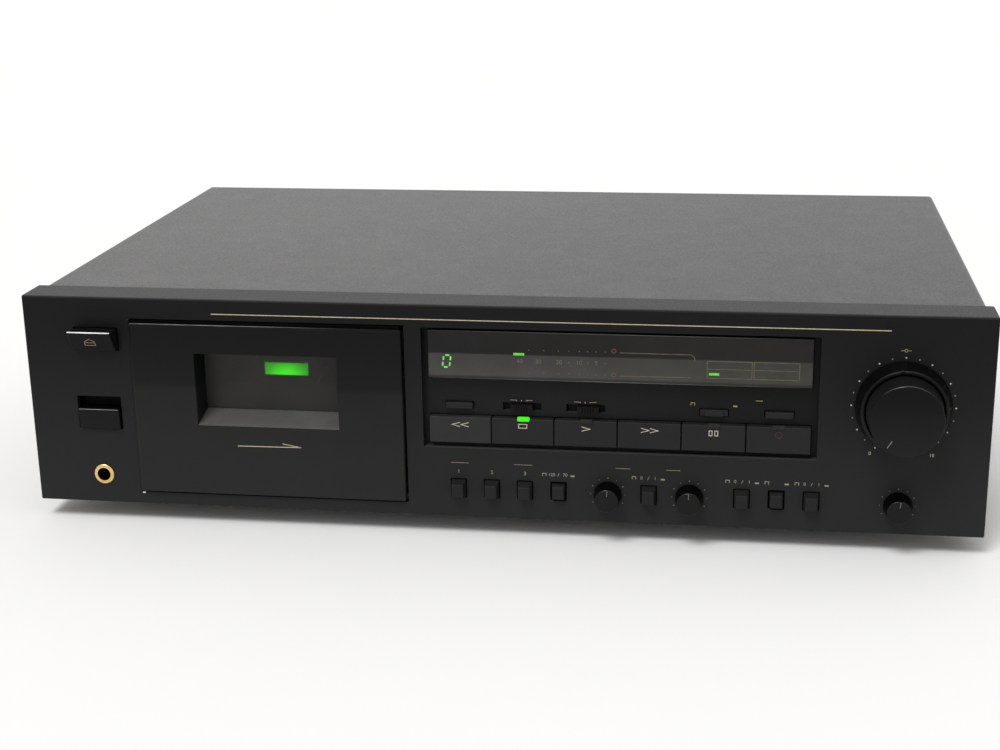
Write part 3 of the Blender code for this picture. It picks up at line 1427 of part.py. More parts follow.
def transport_keys():
    for i, name in enumerate(KEY_NAMES):
        left = KEYS_LEFT + i * KEY_PITCH
        width = KEY_PITCH - KEY_SPLIT
        x = left + width / 2
        z = (KEY_BOTTOM + KEY_TOP) / 2
        half = (KEY_TOP - KEY_BOTTOM) / 2
        points = [
            (KEY_FACE, -half),
            (KEY_DEPTH, -half),
            (KEY_DEPTH, half),
            (KEY_FACE + KEY_RAKE, half),
        ]
        key = outline(name, points, width, "YZ", KEY_BLACK, (x, 0, z))
        round_edges(key, KEY_EDGE)
        stem = KEY_STEM / 2
        fuse(key, f"{name}_stem", [((-stem, KEY_DEPTH - OVER, -stem), (stem, KEY_STEM_END, stem))], at=(x, 0, z))


def row_controls():
    z = (ROW_BOTTOM + ROW_TOP) / 2
    half = (ROW_TOP - ROW_BOTTOM) / 2 - RUN
    wide = ROW_BUTTON_SLOT / 2 - RUN
    stem = KEY_STEM / 3
    back = ROW_BUTTON_FACE + ROW_BUTTON_DEPTH
    for name, x in ROW_BUTTONS.items():
        step = MONITOR_STEP if name == "monitor_button" else 0
        button = box_piece(name, (-wide, ROW_BUTTON_FACE + step, -half), (wide, back, half), KEY_BLACK, (x, 0, z))
        round_edges(button, ROW_EDGE)
        if step:
            nose = MONITOR_NOSE / 2
            fuse(
                button,
                "monitor_nose",
                [((-nose, ROW_BUTTON_FACE, FIT - half), (nose, back - OVER, half - FIT))],
                at=(x, 0, z),
            )
        fuse(button, f"{name}_stem", [((-stem, back - OVER, -stem), (stem, KEY_STEM_END, stem))], at=(x, 0, z))
    for name, (middle, offset) in SLIDES.items():
        x = middle + offset
        knob_half = SLIDE_KNOB / 2
        shutter = BEZEL_BACK + FIT
        slide = box_piece(
            name,
            (-knob_half, SLIDE_FACE, -half),
            (knob_half, shutter + SLIDE_SHUTTER / 2, half),
            KEY_BLACK,
            (x, 0, z),
        )
        reach = knob_half + SLIDE_TRAVEL + SLIDE_SHUTTER_LAP
        lap = half + SLIDE_SHUTTER_LAP
        fuse(slide, f"{name}_shutter", [((-reach, shutter, -lap), (reach, shutter + SLIDE_SHUTTER, lap))], at=(x, 0, z))
        grooves = []
        for i in range(SLIDE_RIDGES):
            at = (i - (SLIDE_RIDGES - 1) / 2) * 3 * SLIDE_RIDGE
            grooves.append(
                (
                    (at - SLIDE_RIDGE / 2, SLIDE_FACE - OVER, -half - OVER),
                    (at + SLIDE_RIDGE / 2, SLIDE_FACE + SLIDE_RIDGE, half + OVER),
                )
            )
        cut(slide, f"{name}_grooves", grooves, at=(x, 0, z))


def tapered_block(name, base, face, proud, lift, back, finish, at):
    """A block that is straight behind the panel and narrows from there to its face."""
    bm = bmesh.new()
    rings = []
    for y, (width, height), rise in ((back, base, 0), (0, base, 0), (-proud, face, lift)):
        corners = []
        for x, z in ((-width, -height), (width, -height), (width, height), (-width, height)):
            corners.append(bm.verts.new((x / 2, y, rise + z / 2)))
        rings.append(corners)
    for first, second in zip(rings, rings[1:]):
        for i in range(len(first)):
            j = (i + 1) % len(first)
            bm.faces.new((first[i], first[j], second[j], second[i]))
    bm.faces.new(rings[0])
    bm.faces.new(rings[-1])
    bmesh.ops.recalc_face_normals(bm, faces=bm.faces)
    return place(name, mesh_of(bm, name), finish, at)


def push_buttons():
    flange_x = PUSH_OPENING_WIDTH / 2 + PUSH_FLANGE_REACH
    flange_z = PUSH_OPENING_HEIGHT / 2 + PUSH_FLANGE_REACH
    stem = PUSH_STEM / 2
    for name, (x, latched) in PUSH_BUTTONS.items():
        at = (x, PUSH_LATCHED if latched else 0, PUSH_HEIGHT)
        back = BEHIND_WALL + PUSH_FLANGE / 2
        base = (PUSH_WIDTH, PUSH_BASE_HEIGHT)
        face = (PUSH_FACE_WIDTH, PUSH_FACE_HEIGHT)
        button = tapered_block(name, base, face, PUSH_PROUD, PUSH_FACE_LIFT, back, KNOB_BLACK, at)
        round_edges(button, PUSH_EDGE)
        flange_back = BEHIND_WALL + PUSH_FLANGE
        fuse(
            button,
            f"{name}_flange",
            [((-flange_x, BEHIND_WALL, -flange_z), (flange_x, flange_back, flange_z))],
            at=at,
        )
        fuse(button, f"{name}_stem", [((-stem, flange_back - OVER, -stem), (stem, PUSH_STEM_END, stem))], at=at)


def wedge_button(name, x, bottom, top, width, proud, proud_low, stem_end, pressed=0, step=None, side=RUN):
    """A wedge outline in side view. A step gives it a finger step with a raised back."""
    middle = (bottom + top) / 2
    half = (top - bottom) / 2
    back = BEHIND_WALL + WEDGE_FLANGE + pressed
    points = [(-proud_low, -half), (back, -half)]
    if step:
        depth, rise = step
        points += [(back, rise - middle), (depth, rise - middle), (depth, half)]
    else:
        points += [(back, half)]
    points += [(-proud, half)]
    button = outline(name, points, width, "YZ", PANEL_BLACK, (x, 0, middle))
    round_edges(button, WEDGE_EDGE)
    upper = (step[1] if step else top) - middle
    front = back - WEDGE_FLANGE
    reach = width / 2 + side + WEDGE_LIP
    lip = RUN + WEDGE_LIP
    fuse(
        button,
        f"{name}_flange",
        [((-reach, front, -half - lip), (reach, back + OVER / 2, upper + lip))],
        at=(x, 0, middle),
    )
    stem = WEDGE_STEM / 2
    fuse(button, f"{name}_stem", [((-stem, back - OVER, -stem), (stem, stem_end, stem))], at=(x, 0, middle))


def pointer_groove(knob, name, x, z, angle_deg, outer, length, width, face):
    """A straight groove in a knob's face, turned clockwise from twelve o'clock."""
    groove = shape(
        f"{name}_pointer_cut",
        [((-width / 2, face - OVER, outer - length), (width / 2, face + POINTER_DEPTH, outer))],
        at=(x, 0, z),
    )
    groove.rotation_euler = (0, math.radians(angle_deg), 0)
    boolean(knob, groove, "DIFFERENCE")


def small_knobs():
    for name, (x, angle) in SMALL_KNOBS.items():
        knob = turned(
            name,
            [
                (0, SHAFT_END),
                (SHAFT_RADIUS, SHAFT_END),
                (SHAFT_RADIUS, -KNOB_STAND),
                (KNOB_RADIUS, -KNOB_STAND),
                (KNOB_FACE_RADIUS + KNOB_CHAMFER, KNOB_CHAMFER - KNOB_PROUD),
                (KNOB_FACE_RADIUS, -KNOB_PROUD),
                (0, -KNOB_PROUD),
            ],
            KNOB_BLACK,
            (x, 0, KNOB_HEIGHT),
        )
        smooth(knob)
        outer = KNOB_FACE_RADIUS - POINTER_WIDTH
        pointer_groove(knob, name, x, KNOB_HEIGHT, angle, outer, POINTER_LENGTH, POINTER_WIDTH, -KNOB_PROUD)


def recording_level():
    at = (RECORD_X, 0, RECORD_HEIGHT)
    web = -KNOB_STAND - RING_WEB
    ring = turned(
        "balance_ring",
        [
            (RING_TUBE_BORE, RING_TUBE_END),
            (RING_TUBE_RADIUS, RING_TUBE_END),
            (RING_TUBE_RADIUS, -KNOB_STAND),
            (RING_RADIUS, -KNOB_STAND),
            (RING_FACE_RADIUS + KNOB_CHAMFER, KNOB_CHAMFER - RING_PROUD),
            (RING_FACE_RADIUS, -RING_PROUD),
            (RING_BORE_RADIUS, -RING_PROUD),
            (RING_BORE_RADIUS, web),
            (RING_TUBE_BORE, web),
            (RING_TUBE_BORE, RING_TUBE_END),
        ],
        KNOB_BLACK,
        at,
        FINE,
    )
    smooth(ring)
    notch = RING_FACE_RADIUS - POINTER_WIDTH
    pointer_groove(
        ring, "balance_ring", at[0], at[2], RING_SET_DEG, notch, RING_NOTCH, MASTER_POINTER_WIDTH, -RING_PROUD
    )
    master = turned(
        "record_level_knob",
        [
            (0, MASTER_SHAFT_END),
            (SHAFT_RADIUS, MASTER_SHAFT_END),
            (SHAFT_RADIUS, web - FIT),
            (MASTER_RADIUS, web - FIT),
            (MASTER_FACE_RADIUS + MASTER_CHAMFER, MASTER_CHAMFER - MASTER_PROUD),
            (MASTER_FACE_RADIUS, -MASTER_PROUD),
            (0, -MASTER_PROUD),
        ],
        KNOB_BLACK,
        at,
        FINE,
    )
    smooth(master)
    outer = MASTER_FACE_RADIUS - MASTER_CHAMFER
    pointer_groove(
        master,
        "record_level_knob",
        at[0],
        at[2],
        MASTER_SET_DEG,
        outer,
        MASTER_POINTER,
        MASTER_POINTER_WIDTH,
        -MASTER_PROUD,
    )


def control_board():
    board = box_piece(
        "control_board",
        (BAY_LEFT, BOARD_FRONT, FLOOR_TOP + FIT),
        (TRAY_HALF - BOARD_SIDE_GAP, BOARD_FRONT + BOARD, PANEL_HEIGHT - BOARD_DROP),
        BOARD_GREEN,
    )
    back = BOARD_FRONT + BOARD / 2
    switches = []
    switch_front = PUSH_STEM_END + PUSH_TRAVEL + FIT
    for x, _ in PUSH_BUTTONS.values():
        switches.append(around(x, PUSH_HEIGHT, SWITCH_WIDTH, SWITCH_HEIGHT, switch_front, back))
    tact_front = KEY_STEM_END + KEY_TRAVEL + FIT
    key_middle = (KEY_BOTTOM + KEY_TOP) / 2
    for i in range(KEY_COUNT):
        x = KEYS_LEFT + (KEY_PITCH - KEY_SPLIT) / 2 + i * KEY_PITCH
        switches.append(around(x, key_middle, TACT_SIZE, TACT_SIZE, tact_front, back))
    row = (ROW_BOTTOM + ROW_TOP) / 2
    for x in ROW_BUTTONS.values():
        switches.append(around(x, row, TACT_SIZE, TACT_SIZE, tact_front, back))
    for x, _ in SLIDES.values():
        front = BEZEL_BACK + SLIDE_SHUTTER + 2 * FIT
        switches.append(around(x, row, SLIDE_SLOT, TACT_SIZE, front, back))
    dual = around(RECORD_X, RECORD_HEIGHT, DUAL_POT_SIZE, DUAL_POT_SIZE, POT_FRONT, back)
    pots = [around(x, KNOB_HEIGHT, POT_SIZE, POT_SIZE, POT_FRONT, back) for x, _ in SMALL_KNOBS.values()]
    fuse(board, "board_parts", switches + pots + [dual])
    bush = POT_FRONT + OVER - BEHIND_WALL
    bushes = [
        ((x, BEHIND_WALL, KNOB_HEIGHT), bush, POT_BUSH_RADIUS, "Y", COARSE) for x, _ in SMALL_KNOBS.values()
    ]
    bushes.append(((RECORD_X, BEHIND_WALL, RECORD_HEIGHT), bush, DUAL_BUSH_RADIUS, "Y", COARSE))
    fuse(board, "pot_bushes", rods=bushes)
    front = BEHIND_WALL - OVER
    bores = [
        ((x, front, KNOB_HEIGHT), SHAFT_END + SHAFT_CLEAR - front, SHAFT_RADIUS + SHAFT_CLEAR, "Y", COARSE)
        for x, _ in SMALL_KNOBS.values()
    ]
    tube_bore = RING_TUBE_END + SHAFT_CLEAR - front
    bores.append(((RECORD_X, front, RECORD_HEIGHT), tube_bore, RING_TUBE_RADIUS + SHAFT_CLEAR, "Y", COARSE))
    cut(board, "pot_bores", rods=bores)
    start = RING_TUBE_END
    length = MASTER_SHAFT_END + SHAFT_CLEAR - start
    cut(
        board,
        "master_bore",
        rods=[((RECORD_X, start, RECORD_HEIGHT), length, SHAFT_RADIUS + SHAFT_CLEAR, "Y", COARSE)],
    )


def main_board():
    top = MAIN_BOARD_BOTTOM + BOARD
    board = box_piece(
        "main_board",
        (MAIN_BOARD_LEFT, MAIN_BOARD_FRONT, MAIN_BOARD_BOTTOM),
        (MAIN_BOARD_RIGHT, MAIN_BOARD_REAR, top),
        BOARD_GREEN,
    )
    low = MAIN_BOARD_BOTTOM + BOARD / 2
    cans = []
    for shares in CAPACITOR_SHARES:
        x, y = board_place(shares)
        cans.append(((x, y, low), CAPACITOR_HEIGHT, CAPACITOR_RADIUS, "Z", COARSE))
    chips = []
    for shares in CHIP_SHARES:
        x, y = board_place(shares)
        chips.append(((x, y, low), (x + CHIP_WIDTH, y + CHIP_LENGTH, top + CHIP_HEIGHT)))
    fuse(board, "board_chips", chips, cans)
    sink_top = top + SINK_HEIGHT
    sink_x, sink_y = board_place(SINK_SHARES)
    fuse(
        board,
        "heat_sink",
        [((sink_x, sink_y, low), (sink_x + SINK_LENGTH, sink_y + SINK_WALL, sink_top))],
    )
    fins = []
    for i in range(SINK_FINS):
        x = sink_x + FIT + (SINK_LENGTH - SINK_WALL / 2 - 2 * FIT) * i / (SINK_FINS - 1)
        front, back = sink_y + SINK_WALL / 2, sink_y + SINK_WALL + SINK_FIN
        fins.append(((x, front, top + FIT), (x + SINK_WALL / 2, back, sink_top - FIT)))
    fuse(board, "sink_fins", fins)


def transformer():
    low = FLOOR_TOP + FIT
    x, y = TRANSFORMER_X, TRANSFORMER_Y
    core = box_piece(
        "power_transformer",
        (x - CORE_WIDTH / 2, y - CORE_DEPTH / 2, low),
        (x + CORE_WIDTH / 2, y + CORE_DEPTH / 2, low + CORE_HEIGHT),
        CORE_STEEL,
    )
    middle = low + CORE_HEIGHT / 2
    coil = shape(
        "transformer_coil_add",
        [
            (
                (x - COIL_WIDTH / 2, y - COIL_DEPTH / 2, middle - COIL_HEIGHT / 2),
                (x + COIL_WIDTH / 2, y + COIL_DEPTH / 2, middle + COIL_HEIGHT / 2),
            )
        ],
    )
    round_edges(coil, COIL_EDGE)
    boolean(core, coil, "UNION")
    fuse(
        core,
        "transformer_flange",
        [
            (
                (x - FLANGE_WIDTH / 2, y - CORE_DEPTH / 3, low),
                (x + FLANGE_WIDTH / 2, y + CORE_DEPTH / 3, low + FLANGE_HEIGHT),
            )
        ],
    )


def jack_places():
    """Centres of the four line sockets, in two columns and two rows."""
    half = JACK_PITCH / 2
    return [(JACKS_X + column * half, JACKS_HEIGHT + row * half) for column in (-1, 1) for row in (-1, 1)]


def rear_fittings():
    block = JACK_PITCH + 2 * JACK_BLOCK_WALL
    front = REAR_PLATE_FRONT - FIT - JACK_BLOCK_DEPTH
    back = REAR_PLATE_FRONT - FIT
    low, high = around(JACKS_X, JACKS_HEIGHT, block, block, front, back)
    jacks = box_piece("line_sockets", low, high, GOLD)
    end = CASE_DEPTH + JACK_PROUD
    sockets = [((x, back - OVER, z), end - back + OVER, JACK_RADIUS, "Y", COARSE) for x, z in jack_places()]
    fuse(jacks, "socket_rings", rods=sockets)
    bores = [
        ((x, end - JACK_BORE_DEPTH, z), JACK_BORE_DEPTH + OVER, JACK_BORE_RADIUS, "Y", SMALL)
        for x, z in jack_places()
    ]
    cut(jacks, "socket_bores", rods=bores)
    inner = REAR_PLATE_FRONT - FIT
    outer = REAR_PLATE_BACK + FIT
    gland = turned(
        "cord_gland",
        [
            (GLAND_BORE, outer + GLAND_PROUD),
            (GLAND_NECK + GLAND_LIP - FIT, outer + GLAND_PROUD),
            (GLAND_NECK + GLAND_LIP, outer),
            (GLAND_NECK, outer),
            (GLAND_NECK, inner),
            (GLAND_NECK + GLAND_LIP - FIT, inner),
            (GLAND_NECK + FIT, inner - GLAND_TAIL),
            (GLAND_BORE, inner - GLAND_TAIL),
            (GLAND_BORE, outer + GLAND_PROUD),
        ],
        RUBBER,
        (GLAND_X, 0, GLAND_HEIGHT),
        COARSE,
    )
    smooth(gland)


def build():
    front_panel()
    control_bezel()
    display()
    phones_jack()
    cassette_door()
    cassette_holder()
    case()
    feet()
    transport()
    reels()
    capstans()
    motor("capstan_motor", WELL_X + CAPSTAN_SPACING / 2, CAPSTAN_HEIGHT, CAPSTAN_MOTOR_RADIUS, CAPSTAN_MOTOR_LENGTH)
    motor("reel_motor", WELL_X - CAPSTAN_SPACING / 2, HUB_HEIGHT - FIT, REEL_MOTOR_RADIUS, REEL_MOTOR_LENGTH)
    head_block()
    pinch_rollers()
    transport_keys()
    row_controls()
    push_buttons()
    wedge_button(
        "eject_button",
        EJECT_X,
        EJECT_BOTTOM,
        EJECT_TOP,
        EJECT_WIDTH,
        EJECT_PROUD,
        EJECT_PROUD_LOW,
        TRANSPORT_BACK - EJECT_TRAVEL - FIT,
    )
    wedge_button(
        "power_button",
        POWER_X,
        POWER_BOTTOM,
        POWER_TOP,
        POWER_WIDTH,
        POWER_PROUD,
        POWER_PROUD_LOW,
        POWER_STEM_END,
        POWER_TRAVEL,
        (POWER_STEP, POWER_STEP_TOP),
        POWER_SIDE,
    )
    small_knobs()
    recording_level()
    control_board()
    main_board()
    transformer()
    rear_fittings()


build()
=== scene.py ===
"""Finish of a full-size cassette deck: plastics, paint, metal and glass, turned knobs, printed marks and a lit display.

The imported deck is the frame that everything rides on. Places on the front are in millimetres from the
front panel's lower edge and middle, as on a maker's drawing: X to the right, Y to the rear and Z up.
"""

import json
import math

import bmesh
import bpy
import numpy as np
from mathutils import Matrix, Vector

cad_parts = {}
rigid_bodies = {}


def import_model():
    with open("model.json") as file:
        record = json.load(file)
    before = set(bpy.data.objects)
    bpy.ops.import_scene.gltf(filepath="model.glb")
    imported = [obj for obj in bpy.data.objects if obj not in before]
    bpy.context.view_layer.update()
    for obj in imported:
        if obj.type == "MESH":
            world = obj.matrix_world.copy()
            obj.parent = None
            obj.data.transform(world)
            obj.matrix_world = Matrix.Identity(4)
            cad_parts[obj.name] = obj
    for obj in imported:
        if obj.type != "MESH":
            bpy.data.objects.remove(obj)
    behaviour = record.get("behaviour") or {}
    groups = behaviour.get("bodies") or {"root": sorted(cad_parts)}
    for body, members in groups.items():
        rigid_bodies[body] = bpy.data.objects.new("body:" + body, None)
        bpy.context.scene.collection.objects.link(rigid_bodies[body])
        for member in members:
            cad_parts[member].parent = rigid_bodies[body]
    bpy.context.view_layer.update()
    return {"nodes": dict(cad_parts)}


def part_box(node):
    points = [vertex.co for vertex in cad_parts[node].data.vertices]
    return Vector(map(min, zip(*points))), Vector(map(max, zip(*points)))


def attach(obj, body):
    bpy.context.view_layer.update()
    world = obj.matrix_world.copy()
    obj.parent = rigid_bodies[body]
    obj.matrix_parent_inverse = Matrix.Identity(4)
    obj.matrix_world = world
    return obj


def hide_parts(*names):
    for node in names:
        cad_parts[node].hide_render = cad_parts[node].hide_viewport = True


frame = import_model()

MM = 0.001
PANEL_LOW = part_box("front_panel")[0]
DATUM = np.array([0.0, PANEL_LOW.y, PANEL_LOW.z])

# Surfaces that carry printed marks: depths behind the panel's face, and the heights that the leaning ones start from
PANEL_FACE = 0.0
EJECT_LOW = 75.0
EJECT_HIGH = 85.3
EJECT_FOOT = -3.0
EJECT_HEAD = -9.2
KEY_FOOT = 35.8
KEY_FACE_LOW = 0.4
KEY_LEAN = 0.8 / 11.9
INK_PROUD = 0.04
INK_SINK = 0.03

# Sides of turned pieces, dots, beads and rings, points across each softened corner, and rows and sides of a lamp
TURNED_SIDES = 160
DOT_SIDES = 14
BEAD_SIDES = 12
RING_SIDES = 32
CORNER_POINTS = 7
LAMP_STEPS = (24, 48)
# Height of a numeral as a share of its letter size
CAPITAL_SHARE = 0.7


def in_row(points):
    """Drawing places (x, y, z) in millimetres as places in the row frame: a thousandth of each, plus the datum."""
    return np.asarray(points, float) * MM + DATUM


# Shader nodes


def feed(tree, node, inputs):
    """Fills a node's inputs: a socket is linked, a colour is set as opaque, and any other value is set as it is."""
    for key, value in inputs.items():
        socket = node.inputs[key]
        if isinstance(value, bpy.types.NodeSocket):
            tree.links.new(value, socket)
        elif socket.type == "RGBA":
            socket.default_value = (*value[:3], 1.0)
        else:
            socket.default_value = value


def add(tree, kind, inputs=None, **settings):
    """A new node in a tree, with its settings made and its inputs filled."""
    made = tree.nodes.new(kind)
    for key, value in settings.items():
        setattr(made, key, value)
    feed(tree, made, inputs or {})
    return made


def own_place(tree):
    """The object's own coordinates, which stay with a piece as it moves."""
    return add(tree, "ShaderNodeTexCoord").outputs["Object"]


def parts_of(tree, vector=None):
    """The x, y and z of a vector, or of the object's own coordinates."""
    return add(tree, "ShaderNodeSeparateXYZ", {0: vector or own_place(tree)}).outputs


def true_normal(tree):
    return add(tree, "ShaderNodeNewGeometry").outputs["Normal"]


def noise(tree, scale, detail=3.0, rough=0.6, vector=None):
    """Noise over the object's own coordinates, or over a given vector."""
    inputs = {"Vector": vector or own_place(tree), "Scale": scale, "Detail": detail, "Roughness": rough}
    return add(tree, "ShaderNodeTexNoise", inputs).outputs["Fac"]


def ranged(tree, value, low, high, to_low, to_high):
    """A value's stretch from low to high, laid out from to_low to to_high and held there beyond its ends."""
    inputs = {0: value, 1: low, 2: high, 3: to_low, 4: to_high}
    return add(tree, "ShaderNodeMapRange", inputs, interpolation_type="SMOOTHSTEP").outputs[0]


def maths(tree, operation, first, second):
    return add(tree, "ShaderNodeMath", {0: first, 1: second}, operation=operation).outputs[0]


def dot(tree, first, second):
    """The dot product of two vectors."""
    return add(tree, "ShaderNodeVectorMath", {0: first, 1: second}, operation="DOT_PRODUCT").outputs["Value"]


def scaled(tree, colour, gain):
    """A colour times a gain."""
    return add(tree, "ShaderNodeVectorMath", {0: colour, "Scale": gain}, operation="SCALE").outputs[0]


def blend(tree, share, first, second):
    """The first colour where share is 0 and the second where it is 1."""
    return add(tree, "ShaderNodeMix", {0: share, 6: first, 7: second}, data_type="RGBA").outputs[2]


def effect(takes, gives):
    """Makes a node group, named like the function that fills it, from inputs with usual values and from outputs."""

    def make(fill):
        tree = bpy.data.node_groups.new(fill.__name__, "ShaderNodeTree")
        kinds = {tuple: "NodeSocketColor", float: "NodeSocketFloat"}
        for label, value in takes.items():
            socket = tree.interface.new_socket(label, in_out="INPUT", socket_type=kinds[type(value)])
            socket.default_value = value
        for label, kind in gives.items():
            tree.interface.new_socket(label, in_out="OUTPUT", socket_type="NodeSocket" + kind)
        given = tree.nodes.new("NodeGroupInput").outputs
        feed(tree, tree.nodes.new("NodeGroupOutput"), fill(tree, given))

    return make


@effect({"Colour": (0.5, 0.5, 0.5, 1.0), "Strength": 0.2, "Scale": 30.0}, {"Colour": "Color"})
def mottle(tree, given):
    """Uneven colour: the colour times one plus a soft noise that runs from minus to plus the strength."""
    swing = ranged(tree, noise(tree, given["Scale"]), 0.3, 0.7, -1.0, 1.0)
    gain = maths(tree, "ADD", maths(tree, "MULTIPLY", swing, given["Strength"]), 1.0)
    return {"Colour": scaled(tree, given["Colour"], gain)}


@effect({"Scale": 900.0, "Depth": 0.00002, "Edge": 0.0003}, {"Normal": "Vector", "Mask": "Float"})
def grain(tree, given):
    """Moulded or sprayed texture: two noises, one four times finer, as a bump of the given depth over soft edges."""
    coarse = noise(tree, given["Scale"], 2.0)
    fine = noise(tree, maths(tree, "MULTIPLY", given["Scale"], 4.0), 1.0)
    height = maths(tree, "ADD", coarse, maths(tree, "MULTIPLY", fine, 0.4))
    soft = add(tree, "ShaderNodeBevel", {"Radius": given["Edge"]}, samples=4).outputs[0]
    bump = {"Strength": 1.0, "Distance": given["Depth"], "Height": height, "Normal": soft}
    return {"Normal": add(tree, "ShaderNodeBump", bump).outputs[0], "Mask": coarse}


@effect({"Width": 0.0005, "Amount": 0.5, "Scale": 220.0}, {"Mask": "Float"})
def edge_wear(tree, given):
    """Rubbed edges: how far a softened normal turns from the true one, broken up by noise."""
    soft = add(tree, "ShaderNodeBevel", {"Radius": given["Width"]}, samples=4).outputs[0]
    edge = ranged(tree, dot(tree, soft, true_normal(tree)), 0.97, 0.8, 0.0, 1.0)
    broken = ranged(tree, noise(tree, given["Scale"], 4.0), 0.42, 0.62, 0.15, 1.0)
    return {"Mask": maths(tree, "MULTIPLY", maths(tree, "MULTIPLY", edge, broken), given["Amount"])}


@effect({"Amount": 0.3, "Scale": 90.0, "Even": 0.2}, {"Mask": "Float"})
def dust(tree, given):
    """Settled dust: more where the surface faces up, gathered by noise unless it is even, with a few bright specks."""
    facing = ranged(tree, parts_of(tree, true_normal(tree))[2], 0.1, 0.95, 0.05, 1.0)
    film = ranged(tree, noise(tree, given["Scale"], 5.0), 0.35, 0.75, given["Even"], 1.0)
    fine = maths(tree, "MULTIPLY", given["Scale"], 22.0)
    specks = ranged(tree, noise(tree, fine, 1.0), 0.72, 0.8, 0.0, 1.6)
    gathered = maths(tree, "MULTIPLY", maths(tree, "ADD", film, specks), facing)
    return {"Mask": maths(tree, "MULTIPLY", gathered, given["Amount"])}


RAMP_ENDS = {"From": 0.0, "To": 1.0, "At from": 1.0, "At to": 1.0}


@effect({"Colour": (0.5, 0.5, 0.5, 1.0), "Along": (0.0, 0.0, 1.0, 1.0)} | RAMP_ENDS, {"Colour": "Color"})
def painted_light_ramp(tree, given):
    """Painted light and shade along a direction: the colour times one gain up to a first place, another from a second
    on.
    """
    along = dot(tree, own_place(tree), given["Along"])
    gain = ranged(tree, along, given["From"], given["To"], given["At from"], given["At to"])
    return {"Colour": scaled(tree, given["Colour"], gain)}


@effect({"Amount": 1.0, "From": 0.3, "Full": 0.6}, {"Mask": "Float"})
def top_polish(tree, given):
    """A rounded front edge rubbed bright along its top: where the normal leans part of the way up from the front."""
    parts = parts_of(tree, true_normal(tree))
    front = maths(tree, "MULTIPLY", parts[1], -1.0)
    facing = ranged(tree, front, 0.25, 0.5, 0.0, 1.0)
    leaning = maths(tree, "MULTIPLY", facing, ranged(tree, front, 0.985, 0.9, 0.0, 1.0))
    upper = maths(tree, "MULTIPLY", leaning, ranged(tree, parts[2], given["From"], given["Full"], 0.0, 1.0))
    return {"Mask": maths(tree, "MULTIPLY", upper, given["Amount"])}


def placed(tree, name, **inputs):
    """An effect placed in a material with that material's own values. Gives its outputs."""
    return add(tree, "ShaderNodeGroup", inputs, node_tree=bpy.data.node_groups[name]).outputs


def mottled(tree, colour, strength, scale):
    """A colour made uneven."""
    return placed(tree, "mottle", Colour=colour, Strength=strength, Scale=scale)["Colour"]


# Finishes

DUST_AND_LIGHT_COLOUR = (0.42, 0.41, 0.40)
WIPED_DUST = (0.4, 0.38, 0.35)
TARNISH = (0.12, 0.10, 0.08)
BENEATH_INK = (0.05, 0.05, 0.045)


def finish(look):
    """Makes a maker of materials out of a look, which builds in a node tree what goes into the shader's inputs."""

    def make(name, *given, **values):
        made = bpy.data.materials.new(name)
        made.use_nodes = True
        inputs = look(made.node_tree, *given, **values)
        feed(made.node_tree, made.node_tree.nodes["Principled BSDF"], inputs)
        if "Emission Strength" in inputs:
            # A glow is seen, and no light is sampled from it
            made.cycles.emission_sampling = "NONE"
        return made

    return make


@finish
def moulded(
    tree, colour, rough, specular=0.3, mottle=0.12, grain=900.0, depth=0.00002, edge=0.0003, wear=0.25,
    dust=0.04, even=0.2, dust_and_light_top=1.0, painted_light_ramps=(), polish=None,
):
    """Moulded or sprayed plastic: mottled colour, paler rubbed edges, dust up to a height, and texture over soft edges.

    Each ramp paints light and shade into the colour along an axis, between two drawing places, from one gain to
    another. A polish has an amount, and the upward leans at which it starts and is full.
    """
    base = mottled(tree, colour, mottle, 24.0)
    for axis, first, last, at_first, at_last in painted_light_ramps:
        along = [float(axis == letter) for letter in "xyz"]
        ends = [DATUM @ along + place * MM for place in (first, last)]
        values = {"Along": along, "From": ends[0], "To": ends[1], "At from": at_first, "At to": at_last}
        base = placed(tree, "painted_light_ramp", Colour=base, **values)["Colour"]
    worn = placed(tree, "edge_wear", Width=edge * 1.5, Amount=wear, Scale=260.0)["Mask"]
    # Dust on up-facing faces; where it is laid thick, on the door's sill and the panel's ledges, it is partly painted
    # light
    film = placed(tree, "dust", Amount=dust, Scale=70.0, Even=even)["Mask"]
    pale = [min(1.0, 3.2 * c + 0.03) for c in colour]
    height = parts_of(tree)[2]
    dust_and_painted_light = maths(tree, "MULTIPLY", film, ranged(tree, height, dust_and_light_top, dust_and_light_top + 0.004, 1.0, 0.0))
    surface = placed(tree, "grain", Scale=grain, Depth=depth, Edge=edge)
    inputs = {
        "Base Color": blend(tree, dust_and_painted_light, blend(tree, worn, base, pale), DUST_AND_LIGHT_COLOUR),
        "Roughness": ranged(tree, surface["Mask"], 0.3, 0.7, rough - 0.05, rough + 0.07),
        "Normal": surface["Normal"],
        "Specular IOR Level": specular,
    }
    if polish:
        amount, start, full = polish
        rim = placed(tree, "top_polish", Amount=amount, From=start, Full=full)["Mask"]
        inputs |= {"Coat Weight": rim, "Coat IOR": 1.9, "Coat Roughness": 0.12}
    return inputs


@finish
def metal(tree, colour, rough, grain=700.0):
    """Plated or drawn metal: the colour clouded by a little tarnish, with a fine drawn texture."""
    spots = ranged(tree, noise(tree, 180.0, 5.0), 0.55, 0.8, 0.0, 0.5)
    surface = placed(tree, "grain", Scale=grain, Depth=0.000012, Edge=0.0003)
    return {
        "Base Color": blend(tree, spots, mottled(tree, colour, 0.1, 60.0), TARNISH),
        "Roughness": ranged(tree, surface["Mask"], 0.3, 0.7, rough - 0.05, rough + 0.1),
        "Normal": surface["Normal"],
        "Metallic": 1.0,
    }


